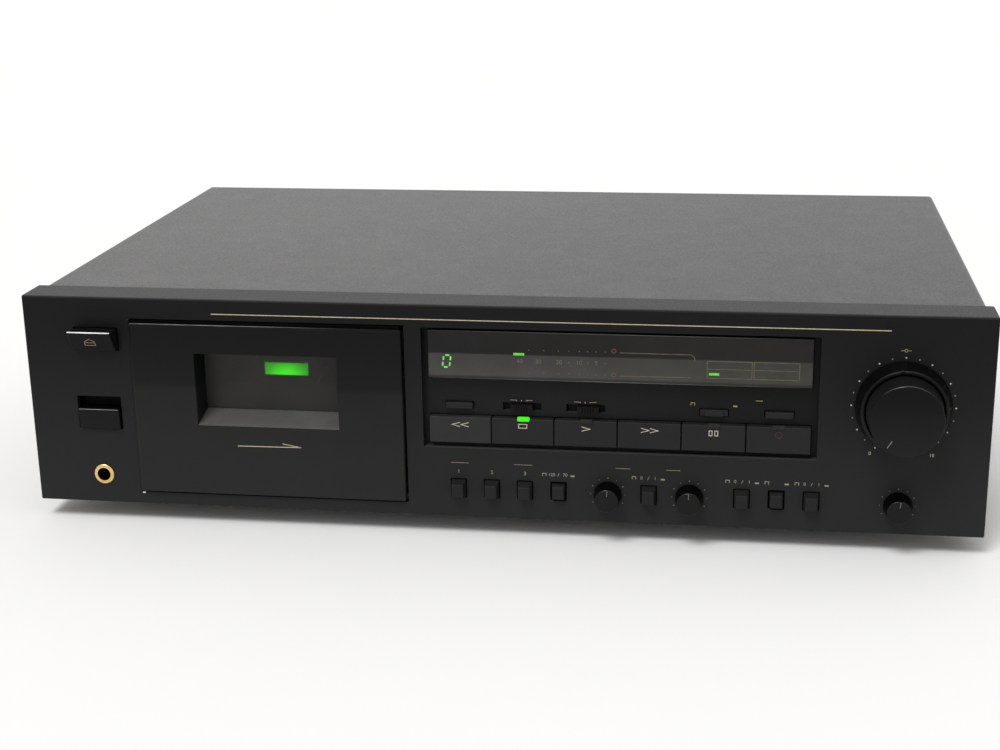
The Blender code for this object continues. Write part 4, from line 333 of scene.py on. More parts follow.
@finish
def smoked(tree, colour, alpha, rough, specular):
    """Smoked clear plastic: the tint lets part of what lies behind show, under a face with faint wiping smears."""
    film = placed(tree, "dust", Amount=0.05, Scale=120.0)["Mask"]
    return {
        "Base Color": blend(tree, film, mottled(tree, colour, 0.15, 18.0), WIPED_DUST),
        "Roughness": ranged(tree, noise(tree, 40.0, 4.0), 0.4, 0.7, rough, rough + 0.06),
        "Alpha": alpha,
        "Specular IOR Level": specular,
    }


@finish
def lens_paler_below(tree):
    """The display's lens, an opaque dark face: paler from part of the way down, more so towards its foot, and darker
    again in a narrow band at the foot.
    """
    low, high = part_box("display_window")
    parts = parts_of(tree)
    across = ranged(tree, parts[0], low.x, high.x, 0.0, 1.0)
    start = low.z + (high.z - low.z) * 0.52
    below = ranged(tree, parts[2], start + 0.0004, start - 0.0004, 0.0, 0.75)
    thicker = ranged(tree, parts[2], start, low.z + 0.003, 0.0, 0.25)
    clear = ranged(tree, parts[2], low.z + 0.0042, low.z + 0.0032, 1.0, 0.35)
    share = maths(tree, "MULTIPLY", maths(tree, "ADD", below, thicker), clear)
    upper = blend(tree, across, (0.0088, 0.0086, 0.0083), (0.0128, 0.0115, 0.0096))
    lower = blend(tree, across, (0.060, 0.057, 0.056), (0.046, 0.045, 0.038))
    return {
        "Base Color": mottled(tree, blend(tree, share, upper, lower), 0.10, 60.0),
        "Roughness": ranged(tree, noise(tree, 40.0, 4.0), 0.4, 0.7, 0.32, 0.38),
        "Specular IOR Level": 0.16,
    }


@finish
def rimmed_socket(tree):
    """The headphone socket: a gold-plated rim round a black bore."""
    depth = parts_of(tree)[1]
    inside = ranged(tree, depth, PANEL_LOW.y - 0.0003, PANEL_LOW.y + 0.0002, 0.0, 1.0)
    return {
        "Base Color": blend(tree, inside, mottled(tree, (0.80, 0.55, 0.20), 0.12, 300.0), (0.004, 0.003, 0.003)),
        "Metallic": ranged(tree, inside, 0.0, 1.0, 1.0, 0.0),
        "Roughness": ranged(tree, noise(tree, 600.0), 0.3, 0.7, 0.2, 0.32),
        "Specular IOR Level": 0.1,
    }


@finish
def lit(tree, colour, strength, unlit):
    """A lit segment or lamp, or print given a painted glow: its own colour glows, a little unevenly, over an unlit
    ground.
    """
    return {
        "Emission Color": mottled(tree, colour, 0.2, 400.0),
        "Base Color": mottled(tree, unlit, 0.1, 400.0),
        "Emission Strength": strength,
        "Roughness": 0.4,
        "Specular IOR Level": 0.1,
    }


@finish
def ink(tree, colour, wear=0.35, rough=0.6):
    """Screen-printed ink: uneven where the print is thin, so that the ground shows through it a little."""
    thin = ranged(tree, noise(tree, 900.0, 3.0), 0.5, 0.75, 0.0, wear)
    shade = blend(tree, thin, mottled(tree, colour, 0.12, 500.0), BENEATH_INK)
    return {"Base Color": shade, "Roughness": rough, "Specular IOR Level": 0.3}


@finish
def fading_edge(tree):
    """A painted highlight: the bright line along the door's upper front edge, which fades to the right."""
    low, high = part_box("cassette_door")
    fade = ranged(tree, parts_of(tree)[0], low.x + 0.03, high.x - 0.02, 0.0, 1.0)
    return {
        "Base Color": blend(tree, fade, mottled(tree, (0.17, 0.17, 0.165), 0.3, 160.0), (0.010, 0.010, 0.010)),
        "Roughness": ranged(tree, fade, 0.0, 1.0, 0.35, 0.5),
        "Specular IOR Level": 0.2,
    }


@finish
def lamp_panel(tree):
    """The lit panel behind the cassette: green, brightest low in its middle and fading to its ends."""
    low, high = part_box("cassette_light")
    middle, size = (low + high) / 2, high - low
    place = own_place(tree)
    shift = {"Vector": place, "Location": (-middle.x, 0.0, -low.z)}
    stretch = {0: add(tree, "ShaderNodeMapping", shift).outputs[0], 1: (1 / size.x, 0.0, 0.55 / size.z)}
    spread = add(tree, "ShaderNodeVectorMath", stretch, operation="MULTIPLY").outputs[0]
    reach = add(tree, "ShaderNodeVectorMath", {0: spread}, operation="LENGTH").outputs["Value"]
    fade = ranged(tree, reach, 0.04, 0.62, 0.0, 1.0)
    glow = blend(tree, fade, mottled(tree, (0.045, 0.92, 0.004), 0.08, 260.0), (0.018, 0.28, 0.002))
    masked = ranged(tree, parts_of(tree, place)[2], high.z - 0.0012, high.z - 0.0009, 0.0, 1.0)
    return {
        "Emission Color": blend(tree, masked, glow, (0.002, 0.006, 0.001)),
        "Base Color": blend(tree, fade, (0.16, 0.22, 0.16), (0.06, 0.08, 0.06)),
        "Emission Strength": 15.0,
        "Roughness": 0.5,
    }


@finish
def circuit_board(tree):
    """Circuit board: green lacquer over faint copper runs laid on a small square grid, with pale dots of solder."""
    place = own_place(tree)
    cells = add(tree, "ShaderNodeTexVoronoi", {"Vector": place, "Scale": 260.0}, distance="CHEBYCHEV", feature="F2")
    runs = ranged(tree, cells.outputs["Distance"], 0.62, 0.7, 0.0, 0.5)
    track = blend(tree, runs, mottled(tree, (0.012, 0.060, 0.026), 0.25, 90.0), (0.05, 0.14, 0.05))
    joints = add(tree, "ShaderNodeTexVoronoi", {"Vector": place, "Scale": 400.0}).outputs["Distance"]
    solder = ranged(tree, joints, 0.12, 0.08, 0.0, 0.7)
    return {
        "Base Color": blend(tree, solder, track, (0.5, 0.5, 0.48)),
        "Normal": placed(tree, "grain", Scale=600.0, Depth=0.00002, Edge=0.0002)["Normal"],
        "Roughness": ranged(tree, solder, 0.0, 0.7, 0.45, 0.25),
    }


@finish
def laminated(tree):
    """The transformer's stacked sheets: thin grey layers one behind another, with a little rust between them."""
    squeezed = add(tree, "ShaderNodeMapping", {"Vector": own_place(tree), "Scale": (12.0, 2600.0, 12.0)}).outputs[0]
    layers = noise(tree, 1.0, 2.0, 0.5, squeezed)
    rust = ranged(tree, noise(tree, 90.0, 5.0), 0.5, 0.72, 0.0, 0.45)
    grey = blend(tree, layers, (0.07, 0.07, 0.07), (0.26, 0.25, 0.24))
    bump = {"Strength": 0.6, "Distance": 0.0001, "Height": layers}
    return {
        "Base Color": blend(tree, rust, grey, (0.20, 0.10, 0.05)),
        "Roughness": ranged(tree, layers, 0.3, 0.7, 0.35, 0.6),
        "Normal": add(tree, "ShaderNodeBump", bump).outputs[0],
        "Metallic": 0.6,
    }


@finish
def pale_ground(tree):
    return {"Base Color": mottled(tree, (0.97, 0.97, 0.97), 0.005, 3.0), "Roughness": 0.9, "Specular IOR Level": 0.1}


# Settings that several mouldings share, and the painted light and shade from the panel's foot to its top: paler at the
# foot, as from the pale floor below, and darker towards the top
FRONT = {"rough": 0.46, "mottle": 0.05, "grain": 1100.0}
KEY = {"rough": 0.42, "specular": 0.14, "dust": 0.02, "edge": 0.0004}
CONTROL = {"mottle": 0.08, "dust": 0.0, "wear": 0.1}
COLLAR = {"rough": 0.42, "specular": 0.4, "dust": 0.08, "wear": 0.1}
CLEAN = {"dust": 0.0, "wear": 0.0}
PANEL_LIGHT_AND_SHADE = ("z", 0, 100, 1.5, 0.3)

# The record's material slots, as finished here
FINISHES = {
    # Painted light and shade on the panel: paler at its foot, darker towards its top; its heavier, even dust is partly
    # painted light on the up-facing ledges in its gaps, where shade falls
    "panel_black": moulded(
        "panel_plastic", (0.0100, 0.0106, 0.0106), specular=0.12, dust=0.10, even=0.85, painted_light_ramps=[PANEL_LIGHT_AND_SHADE], **FRONT
    ),
    # Painted light and shade on the door: paler at its foot, darker at its top, and darker on all that lies behind its
    # front face, where shade falls; its thick, even dust below a height is partly real dust and partly a painted
    # highlight on the up-facing sill
    "door_black": moulded(
        "door_plastic", (0.0102, 0.0104, 0.0102), rough=0.42, specular=0.12, mottle=0.05, dust=0.25, even=0.85,
        dust_and_light_top=0.066, painted_light_ramps=[("z", 0, 100, 1.4, 0.2), ("y", -1.0, 1.0, 1.0, 0.2)],
    ),
    "key_black": moulded("key_plastic", (0.0140, 0.0138, 0.0146), mottle=0.08, **KEY),
    # Painted shade: the small knobs' sides, behind their faces, are nearly black
    "knob_black": moulded(
        "knob_plastic", (0.0072, 0.0074, 0.0074), rough=0.36, specular=0.13,
        painted_light_ramps=[("y", -9.0, -8.5, 1.0, 0.02)], polish=(0.45, 0.5, 0.8), **CONTROL,
    ),
    # Painted reflection: the cover's paint is paler towards its left, where it mirrors more of the bright surroundings
    "case_paint": moulded(
        "case_paint", (0.026, 0.025, 0.023), rough=0.36, specular=0.42, mottle=0.06, grain=1500.0, depth=0.00003,
        wear=0.4, dust=0.05, painted_light_ramps=[("x", -150, 215, 1.1, 0.2)],
    ),
    "smoked_plastic": smoked("smoked_pane", (0.038, 0.037, 0.034), alpha=0.76, rough=0.29, specular=0.14),
    "plated_steel": metal("zinc_plate", (0.42, 0.41, 0.37), 0.38),
    "bright_steel": metal("bright_steel", (0.62, 0.61, 0.59), 0.22),
    "gold_plate": metal("gold_plate", (0.72, 0.50, 0.20), 0.30),
    "holder_grey": moulded("holder_plastic", (0.045, 0.044, 0.042), rough=0.5, dust=0.1),
    "rubber": moulded(
        "black_rubber", (0.013, 0.013, 0.012), rough=0.75, specular=0.2, mottle=0.2, grain=1600.0, dust=0.1
    ),
    "board_green": circuit_board("board_lacquer"),
    "display_glass": smoked("tube_glass", (0.014, 0.014, 0.013), alpha=1.0, rough=0.6, specular=0.0),
    "lamp_green": lamp_panel("cassette_lamp"),
    "core_steel": laminated("core_sheets"),
    "motor_steel": metal("motor_can", (0.50, 0.49, 0.46), 0.3, grain=400.0),
}
# Nodes with a finish of their own
OWN_FINISHES = {
    "display_window": lens_paler_below("display_lens"),
    "phones_jack": rimmed_socket("socket_rim"),
    # Painted light and shade on the bay: the panel's gradient, and painted shade darkening it towards its right
    "control_bezel": moulded(
        "bezel_plastic", (0.0098, 0.0104, 0.0104), specular=0.11, dust=0.06, even=0.85,
        painted_light_ramps=[PANEL_LIGHT_AND_SHADE, ("x", 20, 140, 1.0, 0.55)], **FRONT,
    ),
    # A darker copy of the panel plastic: painted shade on the eject's leaning face, deepening towards its top
    "eject_button": moulded(
        "eject_plastic", (0.0066, 0.0070, 0.0070), specular=0.10, painted_light_ramps=[("z", 0, 100, 1.5, 0.5)], **FRONT, **CLEAN
    ),
    # Painted shade on the power button: darker on all that lies behind its front face, in its shaded recess, and darker
    # towards its top
    "power_button": moulded(
        "power_plastic", (0.0092, 0.0098, 0.0098), specular=0.06,
        painted_light_ramps=[PANEL_LIGHT_AND_SHADE, ("y", -1.2, -0.8, 1.0, 0.1)], **FRONT, **CLEAN,
    ),
    # A lighter copy of the key plastic: a painted reflection on the rewind key's face
    "rewind_key": moulded("hazed_key_plastic", (0.0250, 0.0240, 0.0250), mottle=0.12, **KEY),
    # Painted light: the record level knob is paler towards its foot and on its side behind the front face
    "record_level_knob": moulded(
        "record_knob_plastic", (0.0032, 0.0033, 0.0032), rough=0.34, specular=0.09,
        painted_light_ramps=[("z", 44, 74, 3.6, 1.0), ("y", -20.2, -19.4, 1.0, 2.4)], polish=(0.9, 0.55, 0.8), **CONTROL,
    ),
    # Painted light and shade on the ring: paler towards its foot and on its front, with painted shade on its side
    "balance_ring": moulded(
        "ring_plastic", (0.0026, 0.0028, 0.0027), rough=0.36, specular=0.09,
        painted_light_ramps=[("z", 40, 74, 4.5, 1.0), ("y", -8.9, -8.0, 1.6, 0.7)], polish=(0.45, 0.6, 0.85), **CONTROL,
    ),
}
# Painted shade on the push buttons: the deeper a surface lies, the darker, so tops and pressed-in buttons are darker
# and proud faces paler
for kind in "tape_one tape_two tape_three equaliser calibration noise_reduction noise_type filter".split():
    OWN_FINISHES[kind + "_button"] = moulded(
        kind + "_button_plastic", (0.0098, 0.0102, 0.0102), rough=0.42, specular=0.12,
        painted_light_ramps=[("y", -1.0, 0.5, 1.4, 0.4)], **CONTROL,
    )
for node in ("memory_slide", "timer_slide"):
    OWN_FINISHES[node] = moulded(
        node + "_plastic", (0.0060, 0.0060, 0.0062), rough=0.5, specular=0.08, mottle=0.08, **CLEAN
    )
INKS = {
    "cream": ink("cream_ink", (0.50, 0.47, 0.36)),
    "gold": ink("gold_ink", (0.48, 0.42, 0.28), wear=0.2, rough=0.4),
    "dim": ink("dim_ink", (0.30, 0.275, 0.20), wear=0.5),
    "faint": ink("faint_ink", (0.20, 0.185, 0.14), wear=0.6),
    "red": ink("red_ink", (0.060, 0.014, 0.018), wear=0.4),
    "brown": ink("brown_ink", (0.30, 0.24, 0.15), wear=0.2),
    "chip": ink("bare_chip", (0.85, 0.85, 0.82), wear=0.05),
    # Painted highlights for the edge beads; the dark metal also finishes the rear screws
    "edge": ink("bright_edge", (0.97, 0.97, 0.97), wear=0.02, rough=0.3),
    "dull edge": ink("dull_edge", (0.42, 0.42, 0.42), wear=0.1, rough=0.3),
    "fading edge": fading_edge("fading_edge"),
    "dark edge": metal("dark_edge", (0.11, 0.11, 0.11), 0.4),
}
# Black fibre, and painted shade where it lies on the strip over the door
FELT_AND_SHADE = moulded(
    "black_felt", (0.0035, 0.0035, 0.0035), rough=0.85, specular=0.0, mottle=0.2, grain=2400.0, depth=0.00005, **CLEAN
)
COLLARS = {
    "white": moulded("white_collar", (0.55, 0.54, 0.50), **COLLAR),
    "red": moulded("red_collar", (0.34, 0.018, 0.016), **COLLAR),
}
GLOWS = {
    "green": lit("green_segment", (0.10, 1.0, 0.006), 0.72, unlit=(0.03, 0.03, 0.03)),
    "digit": lit("digit_segment", (0.20, 1.0, 0.10), 0.72, unlit=(0.05, 0.05, 0.05)),
    "lamp": lit("green_lens", (0.045, 1.0, 0.0), 1.0, unlit=(0.004, 0.02, 0.004)),
    "dark": lit("unlit_lens", (0.01, 0.02, 0.012), 0.1, unlit=(0.020, 0.020, 0.020)),
    # The display's print is no lamp: its glow is painted light
    "print": lit("scale_print", (0.30, 0.26, 0.15), 0.26, unlit=(0.045, 0.042, 0.035)),
    "zero": lit("zero_print", (0.42, 0.20, 0.06), 0.24, unlit=(0.03, 0.02, 0.02)),
}


def dress_frame():
    """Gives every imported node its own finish, or else the finish that its material slots name."""
    for name, item in frame["nodes"].items():
        for held in item.material_slots:
            held.material = OWN_FINISHES.get(name) or FINISHES[held.material.name.split(".")[0]]


# Surfaces


def piece(name, points, faces, body, finish, smooth=True):
    """A finished piece from drawing places and faces: doubles merged, faces turned outward, and riding a body."""
    mesh = bpy.data.meshes.new(name)
    mesh.from_pydata(in_row(points).tolist(), [], faces)
    mesh.validate()
    item = bpy.data.objects.new(name, mesh)
    bpy.context.scene.collection.objects.link(item)
    mesh.materials.append(finish)
    work = bmesh.new()
    work.from_mesh(mesh)
    bmesh.ops.remove_doubles(work, verts=work.verts, dist=1e-7)
    bmesh.ops.recalc_face_normals(work, faces=work.faces)
    work.to_mesh(mesh)
    work.free()
    mesh.polygons.foreach_set("use_smooth", np.full(len(mesh.polygons), smooth))
    mesh.update()
    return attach(item, body)


def around(sides):
    """Evenly spaced angles of one full turn."""
    return np.linspace(0, 2 * math.pi, sides, endpoint=False)


def grid_faces(rows, columns, close_rows=False):
    """Four-sided faces of a grid whose columns run round; its rows run round too where close_rows is true."""
    last = rows if close_rows else rows - 1
    row = np.arange(last)[:, None]
    column = np.arange(columns)[None, :]
    below, beside = (row + 1) % rows, (column + 1) % columns
    corners = [row * columns + column, row * columns + beside, below * columns + beside, below * columns + column]
    return np.stack(corners, -1).reshape(-1, 4).tolist()


def end_faces(rows, columns):
    """The two faces that close the first and the last row of such a grid."""
    return [list(range(columns))[::-1], list(range((rows - 1) * columns, rows * columns))]


def softened(profile, radii):
    """A profile with soft corners: corner p becomes (1 - t)^2 a + 2 t (1 - t) p + t^2 b.

    The ends a and b lie the corner's radius from p towards its neighbours, and one more point past each
    holds the flats flat.
    """
    corner = np.asarray(profile, float)
    radius = np.asarray(radii, float)[:, None]

    def towards(neighbour):
        way = neighbour - corner
        return way / np.maximum(np.linalg.norm(way, axis=1, keepdims=True), 1e-9)

    back, on = towards(np.roll(corner, 1, axis=0)), towards(np.roll(corner, -1, axis=0))
    start, end = corner + radius * back, corner + radius * on
    t = np.linspace(0, 1, CORNER_POINTS)[None, :, None]
    bend = (1 - t) ** 2 * start[:, None] + 2 * t * (1 - t) * corner[:, None] + t**2 * end[:, None]
    before, after = start + 0.2 * radius * back, end + 0.2 * radius * on
    return np.concatenate([before[:, None], bend, after[:, None]], axis=1).reshape(-1, 2)


def turned(name, profile, radii, centre, body, finish, closed=False, relief=None):
    """A surface turned about a line along Y: the profile's point (r, y) at angle a lies at x = r cos a, z = r sin a.

    The profile is softened first, and a relief of r, a and y may sink the surface locally.
    """
    curve = softened(profile, radii)
    angle = around(TURNED_SIDES)[None, :]
    radius, depth = curve[:, :1], curve[:, 1:] + 0 * angle
    if relief:
        depth = depth + relief(radius, angle, depth)
    grid = np.stack([centre[0] + radius * np.cos(angle), depth, centre[1] + radius * np.sin(angle)], -1)
    return piece(name, grid.reshape(-1, 3), grid_faces(len(curve), TURNED_SIDES, closed), body, finish)


def lens(centre, half, power):
    """Points and faces of a rounded block: x = a c(v) c(u), z = b c(v) s(u) and y = -d s(v), about its centre.

    Here c and s are cosine and sine raised to a power with their signs kept.
    """
    v = np.linspace(-math.pi / 2, math.pi / 2, LAMP_STEPS[0])[:, None]
    u = around(LAMP_STEPS[1])[None, :]

    def raised(value):
        return np.sign(value) * np.abs(value) ** power

    x = half[0] * raised(np.cos(v)) * raised(np.cos(u))
    z = half[2] * raised(np.cos(v)) * raised(np.sin(u))
    y = -half[1] * raised(np.sin(v)) + 0 * u
    grid = np.stack([centre[0] + x, centre[1] + y, centre[2] + z], -1)
    return grid.reshape(-1, 3), grid_faces(*LAMP_STEPS)


def highlight_bead(name, start, end, y, z, radius, body, finish):
    """A thin round bar along X, a painted highlight along the edge of a button, the door or the lens: y = r cos a and z
    = r sin a about its line.

    Points close its ends.
    """
    angle = around(BEAD_SIDES)[None, :]
    across = np.array([start, start, end, end])[:, None] + 0 * angle
    size = np.array([0.02, 1.0, 1.0, 0.02])[:, None] * radius
    grid = np.stack([across, y + size * np.cos(angle), z + size * np.sin(angle)], -1)
    faces = grid_faces(4, BEAD_SIDES) + end_faces(4, BEAD_SIDES)
    return piece(name, grid.reshape(-1, 3), faces, body, finish)


def block(name, low, high, body, finish):
    """A block between two corners, its four long edges cut at 45 degrees: eight corners at each end."""
    low, high = np.asarray(low, float), np.asarray(high, float)
    cut = 0.15 * (high - low)[1:].min()
    y = np.array([low[1] + cut, high[1] - cut, high[1], high[1], high[1] - cut, low[1] + cut, low[1], low[1]])
    z = np.array([low[2], low[2], low[2] + cut, high[2] - cut, high[2], high[2], high[2] - cut, low[2] + cut])
    grid = np.stack([np.repeat([low[0], high[0]], 8), np.tile(y, 2), np.tile(z, 2)], -1)
    return piece(name, grid, grid_faces(2, 8) + end_faces(2, 8), body, finish, smooth=False)


# Printed marks: each is a pair of points and faces, and one piece holds all those of one ink on one body


def stroke(points, width, face=PANEL_FACE, closed=False):
    """A bar along a bent line, half a width to each side of it.

    At a bend the sides lie along the mean of the two neighbouring normals, lengthened so that the width holds.
    """
    line = np.asarray(points, float)
    ahead = np.roll(line, -1, axis=0) - line
    normal = np.stack([-ahead[:, 1], ahead[:, 0]], -1)
    normal /= np.linalg.norm(normal, axis=1, keepdims=True) + 1e-12
    before = np.roll(normal, 1, axis=0)
    if not closed:
        normal[-1] = normal[-2]
        before[0] = normal[0]
    offset = (normal + before) / (1 + (normal * before).sum(1, keepdims=True)) * width / 2
    left, right = line + offset, line - offset
    depth = face(line[:, 1]) if callable(face) else np.full(len(line), float(face))
    sides = [(left, -INK_PROUD), (right, -INK_PROUD), (right, INK_SINK), (left, INK_SINK)]
    corners = [np.stack([side[:, 0], depth + shift, side[:, 1]], -1) for side, shift in sides]
    faces = grid_faces(len(line), 4, closed)
    if not closed:
        last = 4 * len(line)
        faces += [[3, 2, 1, 0], [last - 4, last - 3, last - 2, last - 1]]
    return np.stack(corners, 1).reshape(-1, 3), faces


def bar(left, right, z, width):
    """A level stroke."""
    return stroke([(left, z), (right, z)], width)


def patch(x, z, width, height):
    """A filled rectangle about its middle."""
    return bar(x - width / 2, x + width / 2, z, height)


def hollow(x, z, width, height, line, face=PANEL_FACE):
    """A rectangle's outline about its middle, drawn with a line of the given width."""
    a, b = width / 2, height / 2
    return stroke([(x - a, z - b), (x + a, z - b), (x + a, z + b), (x - a, z + b)], line, face, True)


def ring_line(x, z, radius, line, face=PANEL_FACE):
    angle = around(RING_SIDES)
    return stroke(np.stack([x + radius * np.cos(angle), z + radius * np.sin(angle)], -1), line, face, True)


def dots(centres, radius):
    """Round dots: about each centre, a short prism whose sides stand on a circle of the radius."""
    middle = np.asarray(centres, float)
    angle = around(DOT_SIDES)
    x = middle[:, :1] + radius * np.cos(angle)
    z = middle[:, 1:] + radius * np.sin(angle)
    grid = np.stack([np.stack([x, np.full_like(x, depth), z], -1) for depth in (-INK_PROUD, INK_SINK)], 1)
    start = (np.arange(len(middle)) * 2 * DOT_SIDES)[:, None]
    ring = np.arange(DOT_SIDES)
    front = (start + ring).tolist()
    rear = (start + DOT_SIDES + ring[::-1]).tolist()
    beside = (ring + 1) % DOT_SIDES
    walls = np.stack([ring, beside, beside + DOT_SIDES, ring + DOT_SIDES], -1)
    return grid.reshape(-1, 3), front + rear + (start[:, :, None] + walls[None]).reshape(-1, 4).tolist()


def numeral(text, x, z, height):
    """A plain number, made a mesh flat on the floor and then stood up on its face: x stays, y becomes z."""
    words = bpy.data.curves.new("numeral", "FONT")
    words.body, words.size = text, height / CAPITAL_SHARE
    words.align_x, words.align_y = "CENTER", "CENTER"
    words.extrude, words.resolution_u = (INK_PROUD + INK_SINK) / 2, 4
    holder = bpy.data.objects.new("numeral", words)
    bpy.context.scene.collection.objects.link(holder)
    bpy.context.view_layer.update()
    mesh = bpy.data.meshes.new_from_object(holder.evaluated_get(bpy.context.evaluated_depsgraph_get()))
    flat = np.empty(len(mesh.vertices) * 3)
    mesh.vertices.foreach_get("co", flat)
    flat = flat.reshape(-1, 3)
    faces = [list(polygon.vertices) for polygon in mesh.polygons]
    bpy.data.objects.remove(holder)
    bpy.data.meshes.remove(mesh)
    middle = (INK_SINK - INK_PROUD) / 2
    return np.stack([x + flat[:, 0], middle - flat[:, 2], z + flat[:, 1]], -1), faces


def printed(name, marks, body, finish, face=PANEL_FACE):
    """One piece from many marks on a face of the given depth, their points stacked and their faces numbered on."""
    counts = np.cumsum([0] + [len(points) for points, _ in marks])
    faces = [[corner + int(first) for corner in face] for (_, some), first in zip(marks, counts) for face in some]
    points = np.concatenate([points for points, _ in marks]) + (0.0, face, 0.0)
    return piece(name, points, faces, body, finish, smooth=False)


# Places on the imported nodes, in drawing millimetres


def drawn_box(node):
    """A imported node's lowest and highest corners."""
    low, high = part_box(node)
    return (np.array(low) - DATUM) / MM, (np.array(high) - DATUM) / MM


def middle_of(node):
    """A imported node's middle, across and up."""
    low, high = drawn_box(node)
    return (low[0] + high[0]) / 2, (low[2] + high[2]) / 2


def on_dial(centre, radius, degrees):
    """Places on a dial: clockwise from the top by the angle, so x = r sin and z = r cos of it."""
    turn = np.radians(np.atleast_1d(degrees).astype(float))
    return np.stack([centre[0] + radius * np.sin(turn), centre[1] + radius * np.cos(turn)], -1)


LENS_FACE = drawn_box("display_window")[0][1]
DOOR_FACE = drawn_box("cassette_door")[0][1]
DOOR_TOP = drawn_box("cassette_door")[1][2]
BEZEL_FACE = drawn_box("control_bezel")[0][1]
TUBE_FACE = drawn_box("display_unit")[0][1]
REAR_FACE = drawn_box("rear_panel")[1][1]
RECORD_DIAL = middle_of("balance_ring")
SMALL_DIALS = [middle_of(node) for node in ("bias_knob", "level_knob", "output_knob")]


def key_face(z):
    """Depth of the keys' leaning faces at a height."""
    return KEY_FACE_LOW + KEY_LEAN * (np.asarray(z, float) - KEY_FOOT)


def eject_face(z):
    """Depth of the eject button's wedge at a height: proudest at its top."""
    return EJECT_FOOT + (EJECT_HEAD - EJECT_FOOT) * (np.asarray(z, float) - EJECT_LOW) / (EJECT_HIGH - EJECT_LOW)


# Turned pieces: the three small knobs, the record level knob and the ring round it

# Depths of the knobs' backs, the record level knob's in front of the ring's web, and their shafts' radius
KNOB_STAND = -0.5
RECORD_STAND = -3.1
KNOB_SHAFT = 3.0
# The ring: depths of its front edge and web, its wall and bevel, and the radii of its shaft's bore and outside
RING_FRONT = -9.0
RING_WEB = -2.7
RING_WALL = 3.6
RING_BEVEL = 2.1
RING_BORE = 3.4
RING_TUBE = 5.0
# Its notch: place in degrees, anticlockwise from the right, and half width and depth
NOTCH_PLACE = 96.0
NOTCH_HALF = 0.7
NOTCH_DEPTH = 1.2


def round_knob(node, body, draft, corner, finish, stand=KNOB_STAND):
    """A round knob on its shaft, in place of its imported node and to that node's own box."""
    low, high = drawn_box(node)
    centre = middle_of(node)
    radius = (high[0] - low[0]) / 2
    front = low[1] + 2 * INK_PROUD
    face = [(0.0, front), (radius - draft, front), (radius, stand)]
    profile = face + [(KNOB_SHAFT, stand), (KNOB_SHAFT, high[1]), (0.0, high[1])]
    made = turned(node + "_turned", profile, [0, corner, 0.3, 0.2, 0.3, 0], centre, body, finish)
    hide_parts(node)
    return centre, front


def pointer(name, body, centre, front, degrees, reach, width):
    """A pale line let into a knob's face, from its inner to its outer reach."""
    ends = np.concatenate([on_dial(centre, place, degrees) for place in reach])
    printed(name, [stroke(ends, width)], body, INKS["faint"], front)


def small_knobs():
    for body, set_at in (("bias", 4.0), ("level", 0.0), ("output", 6.0)):
        centre, front = round_knob(body + "_knob", body, 1.1, 0.6, FINISHES["knob_black"])
        pointer(body + "_knob_pointer", body, centre, front, set_at, (2.4, 5.0), 0.24)


def record_level():
    """The record level knob, and the ring round it with a notch in its front edge."""
    dark = OWN_FINISHES["record_level_knob"]
    centre, front = round_knob("record_level_knob", "record_level", 1.0, 0.8, dark, RECORD_STAND)
    pointer("record_level_pointer", "record_level", centre, front, -147.0, (10.5, 14.2), 0.36)
    low, high = drawn_box("balance_ring")
    outer = (high[0] - low[0]) / 2
    wall, bevel = outer - RING_WALL, outer - RING_BEVEL
    profile = [(RING_BORE, high[1]), (RING_BORE, RING_WEB), (wall, RING_WEB), (wall, RING_FRONT)]
    profile += [(bevel, RING_FRONT), (outer, KNOB_STAND), (RING_TUBE, KNOB_STAND), (RING_TUBE, high[1])]

    def relief(radius, angle, depth):
        """A groove across the front edge: exp(-(s / h)^2) of its depth at s from its middle, h its half width."""
        edge = np.clip((-depth + RING_FRONT + 3.0) / 2.5, 0.0, 1.0)
        return NOTCH_DEPTH * edge * np.exp(-((radius * (angle - math.radians(NOTCH_PLACE)) / NOTCH_HALF) ** 2))

    radii = [0.2, 0.0, 0.3, 0.5, 0.7, 0.3, 0.2, 0.2]
    ring = turned("balance_ring_turned", profile, radii, centre, "balance", OWN_FINISHES["balance_ring"], True, relief)
    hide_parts("balance_ring")


# Marks on the panel

GOLD_LINE = ((-127.6, 93.2), (173.0, 93.2))
RECORD_DOTS_REACH = 22.05
SMALL_DOTS_REACH = 7.8
# The centre mark over the record level knob, and the ends of its scale
CENTRE_MARK = (179.5, 84.6)
SCALE_ENDS = ((166.5, "0"), (192.8, "10"))
SCALE_ENDS_ROW = 37.6
# Push buttons' places across, with the numbers over them for out and in
SWITCH_MARKS = (
    (23.6, 36.4, "120", "70"),
    (64.0, 76.8, "0", "1"),
    (105.5, 118.4, "0", "1"),
    (122.7, 131.4, "", ""),
    (135.8, 148.7, "0", "1"),
)
SWITCH_ROW = 22.1
TAPE_NUMBERS = ((-15.5, "1"), (-0.3, "2"), (14.8, "3"))
DASHES = ((-19.0, -10.8), (9.9, 18.2), (55.8, 62.3), (78.4, 84.5))
DASH_ROW = 26.3


def out_mark(x, z):
    """A button standing out: three sides of a small square."""
    return stroke([(x - 0.8, z - 0.7), (x - 0.8, z + 0.6), (x + 0.8, z + 0.6), (x + 0.8, z - 0.7)], 0.28)


def in_mark(x, z):
    """A button pressed in: a low filled bar."""
    return patch(x, z - 0.35, 1.8, 0.7)


